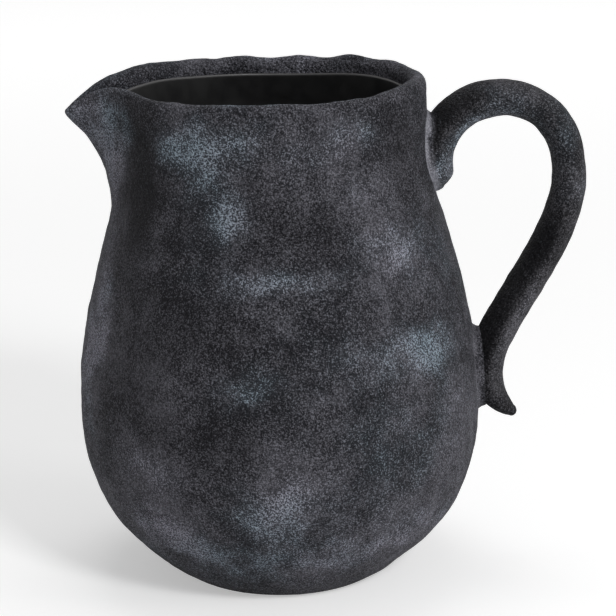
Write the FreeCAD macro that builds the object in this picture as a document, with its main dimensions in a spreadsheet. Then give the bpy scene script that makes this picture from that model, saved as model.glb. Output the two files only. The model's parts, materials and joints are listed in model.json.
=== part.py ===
import FreeCAD, Part
import Sketcher
import math
import os

# Hand-built stoneware pouring jug, in millimetres.
# The foot rests on the plane of the origin and the jug's axis is the Z axis.
# The pouring lip points to minus X and the handle stands on the plus X side.
# Six pieces: the slab floor, the coiled wall with its pulled lip, the glaze inside
# them, the strap handle, and the two rings of luting clay that hold the strap.

driving_sizes = {
    # Wall, as radii and heights of its outside
    "rim_height": 250.0,
    "belly_radius": 100.3,
    "belly_height": 90.0,
    "neck_radius": 74.2,
    "neck_height": 226.0,
    "mouth_radius": 73.9,
    "wall_thick": 6.0,
    "wall_foot_width": 9.0,
    "lip_thick": 8.0,
    "body_lean": 0.6,
    "dent_depth": 0.8,
    # Pulled pouring lip and the uneven rim
    "spout_start_height": 186.0,
    "spout_reach": 28.2,
    "spout_shoulder": 4.5,
    "spout_drop": 14.0,
    "shoulder_rise": 3.2,
    "shoulder_skew": 3.0,
    "rim_tilt": 1.8,
    "rim_wave": 0.7,
    # Slab floor
    "slab_thick": 6.0,
    "slab_edge_radius": 59.5,
    "foot_radius": 50.0,
    "foot_round": 1.5,
    "foot_ring_width": 12.0,
    "foot_recess": 1.0,
    # Glaze inside
    "glaze_thick": 0.6,
    "glaze_edge_drop": 7.5,
    # Strap handle
    "strap_thick": 18.0,
    "strap_width": 26.0,
    "arch_radius": 33.7,
    "upper_joint_drop": 44.0,
    "root_standoff": 0.8,
    "root_drop": 9.0,
    "lower_joint_rise": 10.0,
    "strap_standoff": 4.4,
    "tail_reach": 14.2,
    "tail_drop": 21.8,
    # Luting clay round the joints
    "luting_width": 5.0,
    "luting_sink": 9.0,
}

# Share of the rise from slab floor to belly: radius, height
lower_wall_shares = [
    (0.0, 0.0), (0.112, 0.048), (0.268, 0.119), (0.484, 0.226), (0.664, 0.345),
    (0.794, 0.464), (0.909, 0.607), (0.978, 0.762), (0.995, 0.881), (1.0, 1.0),
]
# Share of the way back from neck to belly radius, and of the rise from belly to neck
upper_wall_shares = [
    (0.981, 0.11), (0.92, 0.206), (0.843, 0.294), (0.716, 0.404), (0.575, 0.515),
    (0.406, 0.625), (0.215, 0.735), (0.085, 0.846), (0.025, 0.926), (0.0, 1.0),
]

# Sections up the strap's root: share of its drop, share of the strap's thickness and width
root_section_shares = [(1.0, 0.66, 0.88), (0.5, 1.08, 1.12)]
# Sections round the arch: degrees from the outer end, share of thickness and width
arch_section_shares = [
    (180.0, 1.12, 1.16), (135.0, 1.06, 1.06), (90.0, 0.98, 1.0), (45.0, 0.93, 0.97), (0.0, 0.91, 0.95),
]
# Sections down to the lower joint: share of the drop, share of the way in, bearing of the
# strap in degrees from straight up, share of thickness and width
run_section_shares = [
    (0.125, 0.01, 187.5, 0.94, 0.95), (0.316, 0.165, 202.8, 0.99, 0.96),
    (0.509, 0.43, 208.2, 1.01, 0.98), (0.702, 0.725, 208.5, 1.0, 1.0),
    (0.85, 0.925, 198.0, 1.0, 1.04), (1.0, 1.0, 180.0, 0.96, 1.08),
]
# Sections out to the flicked tail: share of its drop, share of its reach, bearing as above,
# share of thickness and width
tail_section_shares = [
    (0.25, 0.04, 174.0, 0.93, 1.04), (0.47, 0.19, 158.0, 0.82, 0.94), (0.69, 0.43, 140.0, 0.66, 0.8),
    (0.87, 0.72, 127.0, 0.48, 0.62), (1.0, 1.0, 120.0, 0.18, 0.4),
]
# Luting rings: reach past the wall as a share of their width, then half height and half width
# as shares of the height and half width of what they hold
upper_luting_shares = [(0.5, 1.17, 1.24), (1.1, 0.84, 0.92), (1.5, 0.34, 0.3)]
lower_luting_shares = [(0.16, 1.28, 1.16), (1.0, 0.94, 0.84), (2.0, 0.55, 0.44)]
SUNK_HEIGHT_SHARE = 1.6
SUNK_WIDTH_SHARE = 1.6
LOWER_LUTING_RISE_SHARE = 0.14

# Form of the pouring lip, in degrees away from its middle
KEEL_ANGLE_AT_RIM = 11.5
KEEL_ANGLE_GAIN_BELOW = 11.0
KEEL_POWER_AT_RIM = 1.15
KEEL_POWER_GAIN_BELOW = 0.85
SHOULDER_ANGLE = 58.0
RAISED_SHOULDER_ANGLE = 25.0
DROP_ANGLE = 6.5
DROP_POWER = 1.3
# How the pouring lip grows up the neck: steadily, then with a quick flare under the rim
STEADY_SHARE = 0.68
FLARE_SHARE = 0.32
FLARE_POWER = 5
# Waves that the making left: shallow dents in the wall, a gentle rise and fall of the rim
DENTS_ROUND = 3
DENTS_UP = 3
WAVES_ROUND = 5
WAVE_START_ANGLE = 46.0

doc = FreeCAD.newDocument("pouring_jug")
sheet = doc.addObject("Spreadsheet::Sheet", "sizes")


def enter_size(row, alias, value):
    """Writes one named size into a row of the sheet."""
    sheet.set(f"A{row}", alias.replace("_", " "))
    sheet.set(f"B{row}", str(value))
    sheet.setAlias(f"B{row}", alias)


for row, (alias, value) in enumerate(driving_sizes.items(), start=1):
    enter_size(row, alias, value)
doc.recompute()


def size(alias):
    """The value that the sheet holds for one driving dimension."""
    return float(sheet.get(alias))


def smooth_rise(low, high, value):
    """Rises from 0 at low to 1 at high, level at both ends."""
    share = min(max((value - low) / (high - low), 0.0), 1.0)
    return share * share * (3.0 - 2.0 * share)


# Round the jug the stations crowd together at the pouring lip, where the form is tightest
STATION_COUNT = 36
CROWDING_SHARE = 0.5
CURVE_DEGREE = 3


def turn_angle(station):
    """Angle of one station round the jug, from the pouring lip through the front."""
    even = 2.0 * math.pi * station / STATION_COUNT
    return even - CROWDING_SHARE * math.sin(even)


def outer_profile():
    """Radius and height of the wall's outside, from the slab floor up to the lip."""
    foot_edge = size("slab_edge_radius")
    belly = size("belly_radius")
    neck = size("neck_radius")
    floor_top = size("slab_thick")
    belly_up = size("belly_height")
    neck_up = size("neck_height")
    profile = []
    for out, up in lower_wall_shares:
        profile.append((foot_edge + (belly - foot_edge) * out, floor_top + (belly_up - floor_top) * up))
    for out, up in upper_wall_shares:
        profile.append((neck + (belly - neck) * out, belly_up + (neck_up - belly_up) * up))
    return profile


def lip_profile():
    """Radius and height over the rounded lip, from the outside to the inside."""
    lip_round = size("lip_thick") / 2.0
    centre_out = size("mouth_radius") - lip_round
    centre_up = size("rim_height") - lip_round
    under_lip = (size("neck_height") + centre_up) / 2.0
    profile = [((size("neck_radius") + size("mouth_radius")) / 2.0, under_lip)]
    for degrees in (0, 45, 90, 135, 180):
        angle = math.radians(degrees)
        profile.append((centre_out + lip_round * math.cos(angle), centre_up + lip_round * math.sin(angle)))
    return profile


# The inside is smoother than the outside, and takes one row for every two of it
INSIDE_ROW_COUNT = 2


def inner_profile(outside):
    """Radius and height of the wall's inside, from the glaze edge down to the slab floor."""
    wall = size("wall_thick")
    glaze_edge = (size("mouth_radius") - size("lip_thick"), size("rim_height") - size("glaze_edge_drop"))
    profile = [glaze_edge]
    for station in range(len(outside) - 1, INSIDE_ROW_COUNT, -INSIDE_ROW_COUNT):
        below = outside[station - 1]
        above = outside[min(station + 1, len(outside) - 1)]
        run = above[0] - below[0]
        rise = above[1] - below[1]
        length = math.hypot(run, rise)
        out, up = outside[station]
        profile.append((out - wall * rise / length, up + wall * run / length))
    profile.append((size("slab_edge_radius") - size("wall_foot_width"), size("slab_thick")))
    return profile


def spout_lift(height):
    """How much of the pouring lip a height has, from 0 where it starts to 1 at the rim."""
    start = size("spout_start_height")
    share = min(max((height - start) / (size("rim_height") - start), 0.0), 1.0)
    return STEADY_SHARE * share + FLARE_SHARE * share ** FLARE_POWER


def jug_point(angle, radius, height):
    """Place of one wall point, with the pulled lip, the uneven rim and the soft dents."""
    lift = spout_lift(height)
    away = math.degrees(math.acos(math.cos(angle)))
    keel_angle = KEEL_ANGLE_AT_RIM + KEEL_ANGLE_GAIN_BELOW * (1.0 - lift)
    keel_power = KEEL_POWER_AT_RIM + KEEL_POWER_GAIN_BELOW * (1.0 - lift)
    keel = math.exp(-((away / keel_angle) ** keel_power))
    shoulder = math.exp(-((away / SHOULDER_ANGLE) ** 2))
    wall_rise = (height - size("slab_thick")) / (size("rim_height") - size("slab_thick"))
    dent = size("dent_depth") * math.sin(DENTS_ROUND * angle) * math.sin(DENTS_UP * math.pi * wall_rise)
    out = radius + dent + lift * (size("spout_reach") * keel + size("spout_shoulder") * shoulder)
    rim_share = smooth_rise(size("spout_start_height"), size("rim_height"), height)
    wave = math.sin(WAVES_ROUND * angle + math.radians(WAVE_START_ANGLE))
    uneven = size("rim_wave") * wave - size("rim_tilt") * math.cos(angle)
    beside_lip = math.exp(-(((away - RAISED_SHOULDER_ANGLE) / RAISED_SHOULDER_ANGLE) ** 2))
    uneven += (size("shoulder_rise") - size("shoulder_skew") * math.sin(angle)) * beside_lip
    uneven -= size("spout_drop") * math.exp(-((away / DROP_ANGLE) ** DROP_POWER))
    lean = size("body_lean") * smooth_rise(size("slab_thick"), size("belly_height"), height)
    return (-out * math.cos(angle) - lean, -out * math.sin(angle), height + rim_share * uneven)


def control_net(profile):
    """Poles of the surface that passes through the profile at every turn station."""
    rows = []
    for station in range(STATION_COUNT):
        angle = turn_angle(station)
        rows.append([jug_point(angle, radius, height) for radius, height in profile])

    def pushed(before, point, after):
        """Pole that makes a cubic curve with evenly spaced knots pass through the point."""
        return tuple(p - (b - 2.0 * p + a) / 6.0 for b, p, a in zip(before, point, after))

    around = []
    for station, row in enumerate(rows):
        before = rows[station - 1]
        after = rows[(station + 1) % STATION_COUNT]
        around.append([pushed(b, p, a) for b, p, a in zip(before, row, after)])
    poles = []
    for row in around:
        along = [row[0]]
        for index in range(1, len(row) - 1):
            along.append(pushed(row[index - 1], row[index], row[index + 1]))
        along.append(row[-1])
        poles.append([FreeCAD.Vector(*point) for point in along])
    return poles


def skin(profile):
    """Smooth closed cubic surface round the jug that follows the profile."""
    spans = len(profile) - CURVE_DEGREE
    surface = Part.BSplineSurface()
    surface.buildFromPolesMultsKnots(
        control_net(profile),
        [1] * (STATION_COUNT + 1),
        [CURVE_DEGREE + 1] + [1] * (spans - 1) + [CURVE_DEGREE + 1],
        list(range(STATION_COUNT + 1)),
        list(range(spans + 1)),
        True,
        False,
        CURVE_DEGREE,
        CURVE_DEGREE,
    )
    return surface


def end_edge(surface, at_start):
    """Closed edge at the start or the end of a surface round the jug."""
    low, high = surface.bounds()[2:]
    return surface.vIso(low if at_start else high).toShape()


def flat_ring(edges):
    """Flat face between closed edges, or inside one."""
    return Part.makeFace([Part.Wire(edge) for edge in edges], "Part::FaceMakerBullseye")


def closed_solid(faces):
    """Solid bounded by faces that meet edge to edge."""
    shell = Part.makeShell(faces)
    shell.sewShape()
    solid = Part.makeSolid(Part.Shell(shell.Faces))
    if solid.Volume < 0.0:
        solid.reverse()
    return solid


def sub_part(name, shape):
    """Sub-part of the document with a shape of its own."""
    feature = doc.addObject("Part::Feature", name)
    feature.Label = name
    feature.Shape = shape
    feature.Placement = FreeCAD.Placement()
    return feature


# Wall: one skin up the outside, over the lip and down the inside, standing on the slab
outside_rows = outer_profile()
lip_rows = lip_profile()
inside_rows = inner_profile(outside_rows)
wall_skin = skin(outside_rows + lip_rows + inside_rows)
wall_stand = flat_ring([end_edge(wall_skin, True), end_edge(wall_skin, False)])
vessel_wall = sub_part("vessel_wall", closed_solid([wall_skin.toShape(), wall_stand]))

# Glaze: a thin coat on the inside of the wall and on the slab, from its edge under the lip
coat = size("glaze_thick")
coat_rows = []
for index, (radius, height) in enumerate(inside_rows):
    before = inside_rows[max(index - 1, 0)]
    after = inside_rows[min(index + 1, len(inside_rows) - 1)]
    run = after[0] - before[0]
    fall = before[1] - after[1]
    length = math.hypot(run, fall)
    coat_rows.append((radius - coat * fall / length, height - coat * run / length))
coat_rows[-1] = (coat_rows[-1][0], size("slab_thick") + coat)
coat_back = wall_skin.copy()
glaze_station = len(outside_rows) + len(lip_rows) - 1
coat_back.segment(0, STATION_COUNT, glaze_station, wall_skin.bounds()[3])
coat_front = skin(coat_rows)
coat_faces = [
    coat_back.toShape(),
    coat_front.toShape(),
    Part.makeRuledSurface(end_edge(coat_back, True), end_edge(coat_front, True)),
    flat_ring([end_edge(coat_back, False)]),
    flat_ring([end_edge(coat_front, False)]),
]
glaze_liner = sub_part("glaze_liner", closed_solid(coat_faces))

# Slab floor: a turned disc whose rim carries on the wall's slope, hollowed under its middle
base_slab = doc.addObject("PartDesign::Body", "base_slab")
base_slab.Label = "base_slab"
side_plane = next(plane for plane in base_slab.Origin.OriginFeatures if plane.Role == "XZ_Plane")
outline = base_slab.newObject("Sketcher::SketchObject", "slab_outline")
outline.AttachmentSupport = [(side_plane, "")]
outline.MapMode = "FlatFace"
ring_inside = size("foot_radius") - size("foot_ring_width")
slab_corners = [
    (0.0, size("foot_recess")),
    (ring_inside - size("foot_recess"), size("foot_recess")),
    (ring_inside, 0.0),
    (size("foot_radius"), 0.0),
    (size("slab_edge_radius"), size("slab_thick")),
    (0.0, size("slab_thick")),
]
corner_points = [FreeCAD.Vector(out, up, 0.0) for out, up in slab_corners]
for start, end in zip(corner_points, corner_points[1:] + corner_points[:1]):
    outline.addGeometry(Part.LineSegment(start, end), False)
START_POINT = 1
END_POINT = 2
ORIGIN_LINE = -1
UPRIGHT_LINE = -2
for line in range(len(slab_corners)):
    following = (line + 1) % len(slab_corners)
    outline.addConstraint(Sketcher.Constraint("Coincident", line, END_POINT, following, START_POINT))
outline.addConstraint(Sketcher.Constraint("PointOnObject", 0, START_POINT, UPRIGHT_LINE))
outline.addConstraint(Sketcher.Constraint("PointOnObject", 5, START_POINT, UPRIGHT_LINE))
outline.addConstraint(Sketcher.Constraint("PointOnObject", 2, START_POINT, ORIGIN_LINE))
outline.addConstraint(Sketcher.Constraint("PointOnObject", 3, START_POINT, ORIGIN_LINE))
outline.addConstraint(Sketcher.Constraint("Horizontal", 0))
outline.addConstraint(Sketcher.Constraint("Horizontal", 4))
outline_bonds = [
    ("DistanceY", 0, "sizes.foot_recess"),
    ("DistanceX", 1, "sizes.foot_radius - sizes.foot_ring_width - sizes.foot_recess"),
    ("DistanceX", 2, "sizes.foot_radius - sizes.foot_ring_width"),
    ("DistanceX", 3, "sizes.foot_radius"),
    ("DistanceX", 4, "sizes.slab_edge_radius"),
    ("DistanceY", 4, "sizes.slab_thick"),
]
for kind, line, formula in outline_bonds:
    now = slab_corners[line][0 if kind == "DistanceX" else 1]
    bond = Sketcher.Constraint(kind, ORIGIN_LINE, START_POINT, line, START_POINT, now)
    number = outline.addConstraint(bond)
    outline.setExpression(f"Constraints[{number}]", formula)
slab_turned = base_slab.newObject("PartDesign::Revolution", "slab_turned")
slab_turned.Profile = outline
slab_turned.ReferenceAxis = (outline, ["V_Axis"])
slab_turned.Angle = 360.0
outline.Visibility = False
doc.recompute()
foot_edges = [
    f"Edge{number}"
    for number, edge in enumerate(slab_turned.Shape.Edges, start=1)
    if edge.BoundBox.ZMax < size("foot_recess") / 2.0
    and edge.BoundBox.XMax > ring_inside + size("foot_recess")
]
soft_foot = base_slab.newObject("PartDesign::Fillet", "soft_foot")
soft_foot.Base = (slab_turned, foot_edges)
soft_foot.setExpression("Radius", "sizes.foot_round")
base_slab.Tip = soft_foot
doc.recompute()


# The handle's side of the wall skin, and how much of the skin its joints lie on
HANDLE_STATION_COUNT = STATION_COUNT / 2.0 - 1.0
JOINT_PATCH_STATION_COUNT = 3.0
JOINT_PATCH_SKIPPED_COUNT = 2.0
HALVING_COUNT = 60


def wall_reach(height):
    """How far out the wall's outside stands towards the handle at one height."""
    low = 0.0
    high = float(len(outside_rows))
    for _ in range(HALVING_COUNT):
        middle = (low + high) / 2.0
        if wall_skin.value(HANDLE_STATION_COUNT, middle).z < height:
            low = middle
        else:
            high = middle
    return wall_skin.value(HANDLE_STATION_COUNT, low).x


def wall_lean(height):
    """How many degrees the wall's outside leans back from upright at one height."""
    half_span = size("strap_thick") / 2.0
    inward = wall_reach(height - half_span) - wall_reach(height + half_span)
    return math.degrees(math.atan2(inward, 2.0 * half_span))


# Places that follow from the sizes: the joints' heights, the height over which the arch leaves
# the neck, and the wall's reach and lean behind the strap and behind each ring of luting
derived_places = {
    "upper_joint_height": size("rim_height") - size("upper_joint_drop"),
    "lower_joint_height": size("belly_height") + size("lower_joint_rise"),
    "arch_rise": math.sqrt(size("strap_thick") * (size("arch_radius") + size("strap_thick") / 4.0)),
}
derived_places["upper_seat_reach"] = wall_reach(derived_places["upper_joint_height"])
derived_places["lower_seat_reach"] = wall_reach(derived_places["lower_joint_height"])
upper_rise = (derived_places["arch_rise"] - size("root_drop")) / 2.0
lower_rise = size("strap_thick") * LOWER_LUTING_RISE_SHARE
for end, rise in (("upper", upper_rise), ("lower", lower_rise)):
    ring_height = derived_places[f"{end}_joint_height"] + rise
    derived_places[f"{end}_ring_height"] = ring_height
    derived_places[f"{end}_ring_reach"] = wall_reach(ring_height)
    derived_places[f"{end}_ring_lean"] = wall_lean(ring_height)
for row, (alias, value) in enumerate(derived_places.items(), start=len(driving_sizes) + 1):
    enter_size(row, alias, value)
doc.recompute()


def strap_section(name, across, up, bearing, thick_share, wide_share):
    """Oval section of the strap, square to its bearing."""
    section = doc.addObject("Part::Ellipse", name)
    section.setExpression("MajorRadius", f"sizes.strap_width / 2 * {wide_share}")
    section.setExpression("MinorRadius", f"sizes.strap_thick / 2 * {thick_share}")
    place = f"placement(vector({across}; 0; {up}); rotationy({bearing}) * rotationz(90))"
    section.setExpression("Placement", place)
    return section


# Strap: from its root on the neck over the arch, down to the belly and out to the flicked tail
root_line = "(sizes.upper_seat_reach + sizes.root_standoff)"
arch_centre = f"({root_line} + sizes.arch_radius)"
joint_line = "(sizes.lower_seat_reach + sizes.strap_standoff)"
strap_sections = []
for number, (drop, thick, wide) in enumerate(root_section_shares):
    up = f"sizes.upper_joint_height - sizes.root_drop * {drop}"
    strap_sections.append(strap_section(f"root_section_{number}", root_line, up, 0.0, thick, wide))
for number, (angle, thick, wide) in enumerate(arch_section_shares):
    across = f"{arch_centre} + sizes.arch_radius * cos({angle})"
    up = f"sizes.upper_joint_height + sizes.arch_radius * sin({angle})"
    strap_sections.append(strap_section(f"arch_section_{number}", across, up, 180.0 - angle, thick, wide))
run_start = f"({arch_centre} + sizes.arch_radius)"
for number, (drop, inward, bearing, thick, wide) in enumerate(run_section_shares):
    across = f"{run_start} + ({joint_line} - {run_start}) * {inward}"
    up = f"sizes.upper_joint_height + (sizes.lower_joint_height - sizes.upper_joint_height) * {drop}"
    strap_sections.append(strap_section(f"run_section_{number}", across, up, bearing, thick, wide))
for number, (drop, outward, bearing, thick, wide) in enumerate(tail_section_shares):
    across = f"{joint_line} + sizes.tail_reach * {outward}"
    up = f"sizes.lower_joint_height - sizes.tail_drop * {drop}"
    strap_sections.append(strap_section(f"tail_section_{number}", across, up, bearing, thick, wide))
strap_loft = doc.addObject("Part::Loft", "strap_loft")
strap_loft.Sections = strap_sections
strap_loft.Solid = True

# The clay of the wall behind both joints, which the strap and the luting seat on
joint_patch = wall_skin.copy()
joint_patch.segment(
    HANDLE_STATION_COUNT - JOINT_PATCH_STATION_COUNT,
    HANDLE_STATION_COUNT + JOINT_PATCH_STATION_COUNT,
    JOINT_PATCH_SKIPPED_COUNT,
    float(len(outside_rows)),
)
joint_core = doc.addObject("Part::Feature", "joint_core")
joint_core.Shape = joint_patch.toShape().extrude(FreeCAD.Vector(-size("neck_radius"), 0.0, 0.0))


def cut_away(name, body, tool):
    """Body without the tool's space."""
    cut = doc.addObject("Part::Cut", name)
    cut.Base = body
    cut.Tool = tool
    return cut


handle = cut_away("handle", strap_loft, joint_core)
handle.Label = "handle"


def luting_ring(end, half_height, shares):
    """Clay ring pressed round the strap where it meets the wall, square to the wall's lean."""
    lean = f"sizes.{end}_ring_lean"
    rings = [("-sizes.luting_sink", SUNK_HEIGHT_SHARE, SUNK_WIDTH_SHARE)]
    rings += [(f"sizes.luting_width * {out}", tall, wide) for out, tall, wide in shares]
    sections = []
    for number, (out, tall, wide) in enumerate(rings):
        section = doc.addObject("Part::Ellipse", f"{end}_luting_section_{number}")
        section.setExpression("MajorRadius", f"({half_height}) * {tall}")
        section.setExpression("MinorRadius", f"sizes.strap_width / 2 * {wide}")
        across = f"sizes.{end}_ring_reach + ({out}) * cos({lean})"
        up = f"sizes.{end}_ring_height + ({out}) * sin({lean})"
        section.setExpression("Placement", f"placement(vector({across}; 0; {up}); rotationy(90 - {lean}))")
        sections.append(section)
    mound = doc.addObject("Part::Loft", f"{end}_luting_mound")
    mound.Sections = sections
    mound.Solid = True
    ring = cut_away(f"{end}_luting", cut_away(f"{end}_luting_round_strap", mound, strap_loft), joint_core)
    ring.Label = f"{end}_luting"
    return ring


upper_luting = luting_ring("upper", "(sizes.arch_rise + sizes.root_drop) / 2", upper_luting_shares)
lower_luting = luting_ring("lower", "sizes.strap_thick", lower_luting_shares)
doc.recompute()

for item in doc.Objects:
    if "Invalid" in item.State or "Error" in item.State:
        raise RuntimeError(f"{item.Name} is {item.State}")
pieces = [vessel_wall, base_slab, glaze_liner, handle, upper_luting, lower_luting]
for piece in pieces:
    if piece.Shape.isNull() or not piece.Shape.isValid() or len(piece.Shape.Solids) != 1:
        raise RuntimeError(f"{piece.Label} is not one valid solid")

os.makedirs("parts", exist_ok=True)
for piece in pieces:
    piece.Shape.exportStep(f"parts/{piece.Label}.step")
    box = piece.Shape.BoundBox
    extents = f"{box.XLength:.1f} x {box.YLength:.1f} x {box.ZLength:.1f} mm"
    print(f"{piece.Label}: {piece.Shape.Volume:.0f} mm3, about {extents}")
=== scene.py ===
"""Looks of a hand-built stoneware pouring jug: its pieces, finishes, light and camera.

Lengths are in metres. Turns round the jug are in degrees from the pouring lip, so the front lies
at 90 and the handle at 180. A place along the profile counts rows of the wall's control net.
"""

import json
import logging
import math
from dataclasses import dataclass, field
from enum import Enum

import bpy
import numpy as np
from bpy.types import Material, NodeSocket, NodeTree, Object
from mathutils import Matrix, Vector, noise
from mathutils.bvhtree import BVHTree

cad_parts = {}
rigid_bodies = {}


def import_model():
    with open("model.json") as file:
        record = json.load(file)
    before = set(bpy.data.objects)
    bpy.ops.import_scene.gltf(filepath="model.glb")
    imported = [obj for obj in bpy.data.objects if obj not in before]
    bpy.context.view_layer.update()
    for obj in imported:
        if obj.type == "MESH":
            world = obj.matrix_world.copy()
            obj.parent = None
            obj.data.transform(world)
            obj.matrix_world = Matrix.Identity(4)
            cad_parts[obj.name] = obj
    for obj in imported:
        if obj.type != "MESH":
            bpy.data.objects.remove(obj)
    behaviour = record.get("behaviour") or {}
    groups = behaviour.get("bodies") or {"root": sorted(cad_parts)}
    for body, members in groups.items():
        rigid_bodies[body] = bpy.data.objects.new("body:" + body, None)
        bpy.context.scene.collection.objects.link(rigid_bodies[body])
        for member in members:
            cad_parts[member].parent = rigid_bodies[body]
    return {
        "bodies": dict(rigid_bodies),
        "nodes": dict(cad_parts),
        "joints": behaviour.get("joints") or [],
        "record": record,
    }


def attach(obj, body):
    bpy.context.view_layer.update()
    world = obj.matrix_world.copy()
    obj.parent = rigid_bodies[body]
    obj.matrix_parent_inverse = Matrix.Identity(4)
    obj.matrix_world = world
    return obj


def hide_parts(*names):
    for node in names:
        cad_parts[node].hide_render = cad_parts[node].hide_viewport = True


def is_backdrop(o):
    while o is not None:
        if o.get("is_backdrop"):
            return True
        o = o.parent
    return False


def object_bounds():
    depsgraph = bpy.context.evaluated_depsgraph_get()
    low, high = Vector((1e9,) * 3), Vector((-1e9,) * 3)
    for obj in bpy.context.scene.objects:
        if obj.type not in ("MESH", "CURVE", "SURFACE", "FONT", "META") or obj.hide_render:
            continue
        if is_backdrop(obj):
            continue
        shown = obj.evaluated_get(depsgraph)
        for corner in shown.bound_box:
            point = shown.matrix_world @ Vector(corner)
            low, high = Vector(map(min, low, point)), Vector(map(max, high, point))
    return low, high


LOG = logging.getLogger("pouring_jug")
CURVE_DEGREE = 3
PROFILE_SAMPLES = 1200
SMALLEST_LENGTH = 1e-12
NOISE_MIDDLE = 0.5
WHITE = (1.0, 1.0, 1.0, 1.0)

Pair = tuple[float, float]
Triple = tuple[float, float, float]
Names = tuple[str, ...]
Rows = tuple[tuple[float, ...], ...]
Box = list[list[float]]
Array = np.ndarray


class Slot(Enum):
    """The record's material slots."""

    STONEWARE = "dark_stoneware"
    GLAZE = "black_glaze"
    SLIP = "pale_slip"


class Mark(Enum):
    """Marks that a piece carries as a number from 0 to 1 on each of its points."""

    # Pale dust bloom, and on the strap a painted highlight along the arch's inner edge.
    BLOOM = "bloom"
    # Stains, and painted shade in the hollow beside the pouring lip and on the strap's shaded sides.
    STAIN_AND_SHADE = "stain_and_shade"
    SLIP = "slip"
    # Worn edges, and on the glaze coat a painted highlight along its top edge.
    WEAR_AND_HIGHLIGHT = "wear"


class Ends(Enum):
    """How a skin over rows of turns ends: open, last row joined to first, or a fan at each end."""

    OPEN = "open"
    JOINED = "joined"
    FANNED = "fanned"


def smooth_rise(low: float, high: float, value: Array) -> Array:
    """Rises from 0 at low to 1 at high, level at both ends.

    Args:
        low: Value at which the rise starts.
        high: Value at which it ends.
        value: Numbers to look up.

    Returns:
        One share from 0 to 1 for each number.
    """
    share = np.clip((value - low) / (high - low), 0.0, 1.0)
    return share * share * (3.0 - 2.0 * share)


def bell(distance: Array, spread: float | Array, power: float | Array = 2.0) -> Array:
    """Falls from 1 at no distance towards 0.

    Args:
        distance: Distances from the middle.
        spread: Distance at which it has fallen to about a third.
        power: Sharpness of its middle: 2 is round, 1 is pointed.

    Returns:
        One share from 0 to 1 for each distance.
    """
    return np.exp(-((np.abs(distance) / spread) ** power))


def shown(name: str, data: object) -> Object:
    """Makes an object of the scene.

    Args:
        name: Its name.
        data: Its mesh, lamp or camera.

    Returns:
        The object.
    """
    thing = bpy.data.objects.new(name, data)
    bpy.context.scene.collection.objects.link(thing)
    return thing


def full_turn(count: int) -> Array:
    """Even angles in radians, once round."""
    return 2.0 * math.pi * np.arange(count) / count


def lengths_along(line: Array) -> Array:
    """Distance along a line of points, from its first point to each one."""
    return np.concatenate([[0.0], np.cumsum(np.linalg.norm(np.diff(line, axis=0), axis=1))])


def cubic_weights(knots: Array, places: Array) -> Array:
    """Weight of every pole of a cubic curve at every place along it.

    Args:
        knots: The curve's full knot vector.
        places: Parameters to look up.

    Returns:
        Array with one row for each place and one column for each pole.
    """
    spans = np.searchsorted(knots, places, side="right") - 1
    spans = np.clip(spans, CURVE_DEGREE, len(knots) - CURVE_DEGREE - 2)
    weights = np.zeros((len(places), len(knots) - 1))
    weights[np.arange(len(places)), spans] = 1.0
    for degree in range(1, CURVE_DEGREE + 1):
        raised = np.zeros((len(places), len(knots) - 1 - degree))
        for pole in range(raised.shape[1]):
            left = knots[pole + degree] - knots[pole]
            right = knots[pole + degree + 1] - knots[pole + 1]
            if left > 0:
                raised[:, pole] += (places - knots[pole]) / left * weights[:, pole]
            if right > 0:
                raised[:, pole] += (knots[pole + degree + 1] - places) / right * weights[:, pole + 1]
        weights = raised
    return weights


def curve_through(places: Array, values: Array, wanted: Array) -> Array:
    """Smooth curve through rows of values at uneven places, straight at both ends.

    Args:
        places: Rising places of the known values.
        values: The known values, one row for each place.
        wanted: Places to look up.

    Returns:
        The curve's values at the wanted places.
    """
    gaps = np.diff(places)
    system = np.eye(len(places))
    pull = np.zeros(values.shape)
    pull[1:-1] = 6.0 * np.diff(np.diff(values, axis=0) / gaps[:, None], axis=0)
    for here, (before, after) in enumerate(zip(gaps[:-1], gaps[1:]), start=1):
        system[here, here - 1:here + 2] = (before, 2.0 * (before + after), after)
    bend = np.linalg.solve(system, pull)
    span = np.clip(np.searchsorted(places, wanted, side="right") - 1, 0, len(gaps) - 1)
    gap = gaps[span][:, None]
    ahead = (wanted - places[span])[:, None] / gap
    behind = 1.0 - ahead
    straight = behind * values[span] + ahead * values[span + 1]
    curved = (behind**3 - behind) * bend[span] + (ahead**3 - ahead) * bend[span + 1]
    return straight + curved * gap**2 / 6.0


def grid_normals(grid: Array) -> Array:
    """Directions square to a skin, pointing out of the clay.

    Args:
        grid: Points as rows of closed turns.

    Returns:
        Unit vectors in the grid's own shape.
    """
    along = np.gradient(grid, axis=0)
    around = np.roll(grid, -1, axis=1) - np.roll(grid, 1, axis=1)
    normals = np.cross(around, along)
    length = np.linalg.norm(normals, axis=2, keepdims=True)
    return normals / np.maximum(length, SMALLEST_LENGTH)


@dataclass(frozen=True)
class Cloud:
    """Soft random field in space: the width of one hump, and a shift that makes it its own."""

    width: float
    seed: float

    def at(self, points: Array) -> Array:
        """Numbers from about -1 to 1, one for each point."""
        places = points.reshape(-1, 3) / self.width + self.seed
        return np.array([noise.noise(place) for place in places.tolist()]).reshape(points.shape[:-1])


@dataclass(frozen=True)
class Relief:
    """Unevenness that hands and a rib leave in damp clay: widths and depths of its humps."""

    layers: tuple[Pair, ...]
    seed: float = 3.7
    seed_step: float = 11.0

    def press(self, grid: Array, share: float | Array = 1.0) -> Array:
        """Presses the relief into a skin.

        Args:
            grid: Points as rows of closed turns.
            share: Share of the relief that is left at each point.

        Returns:
            The points, moved in or out.
        """
        heights = np.zeros(grid.shape[:-1])
        for number, (width, depth) in enumerate(self.layers):
            heights += depth * Cloud(width, self.seed + self.seed_step * number).at(grid)
        return grid + grid_normals(grid) * (heights * share)[..., None]


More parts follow.
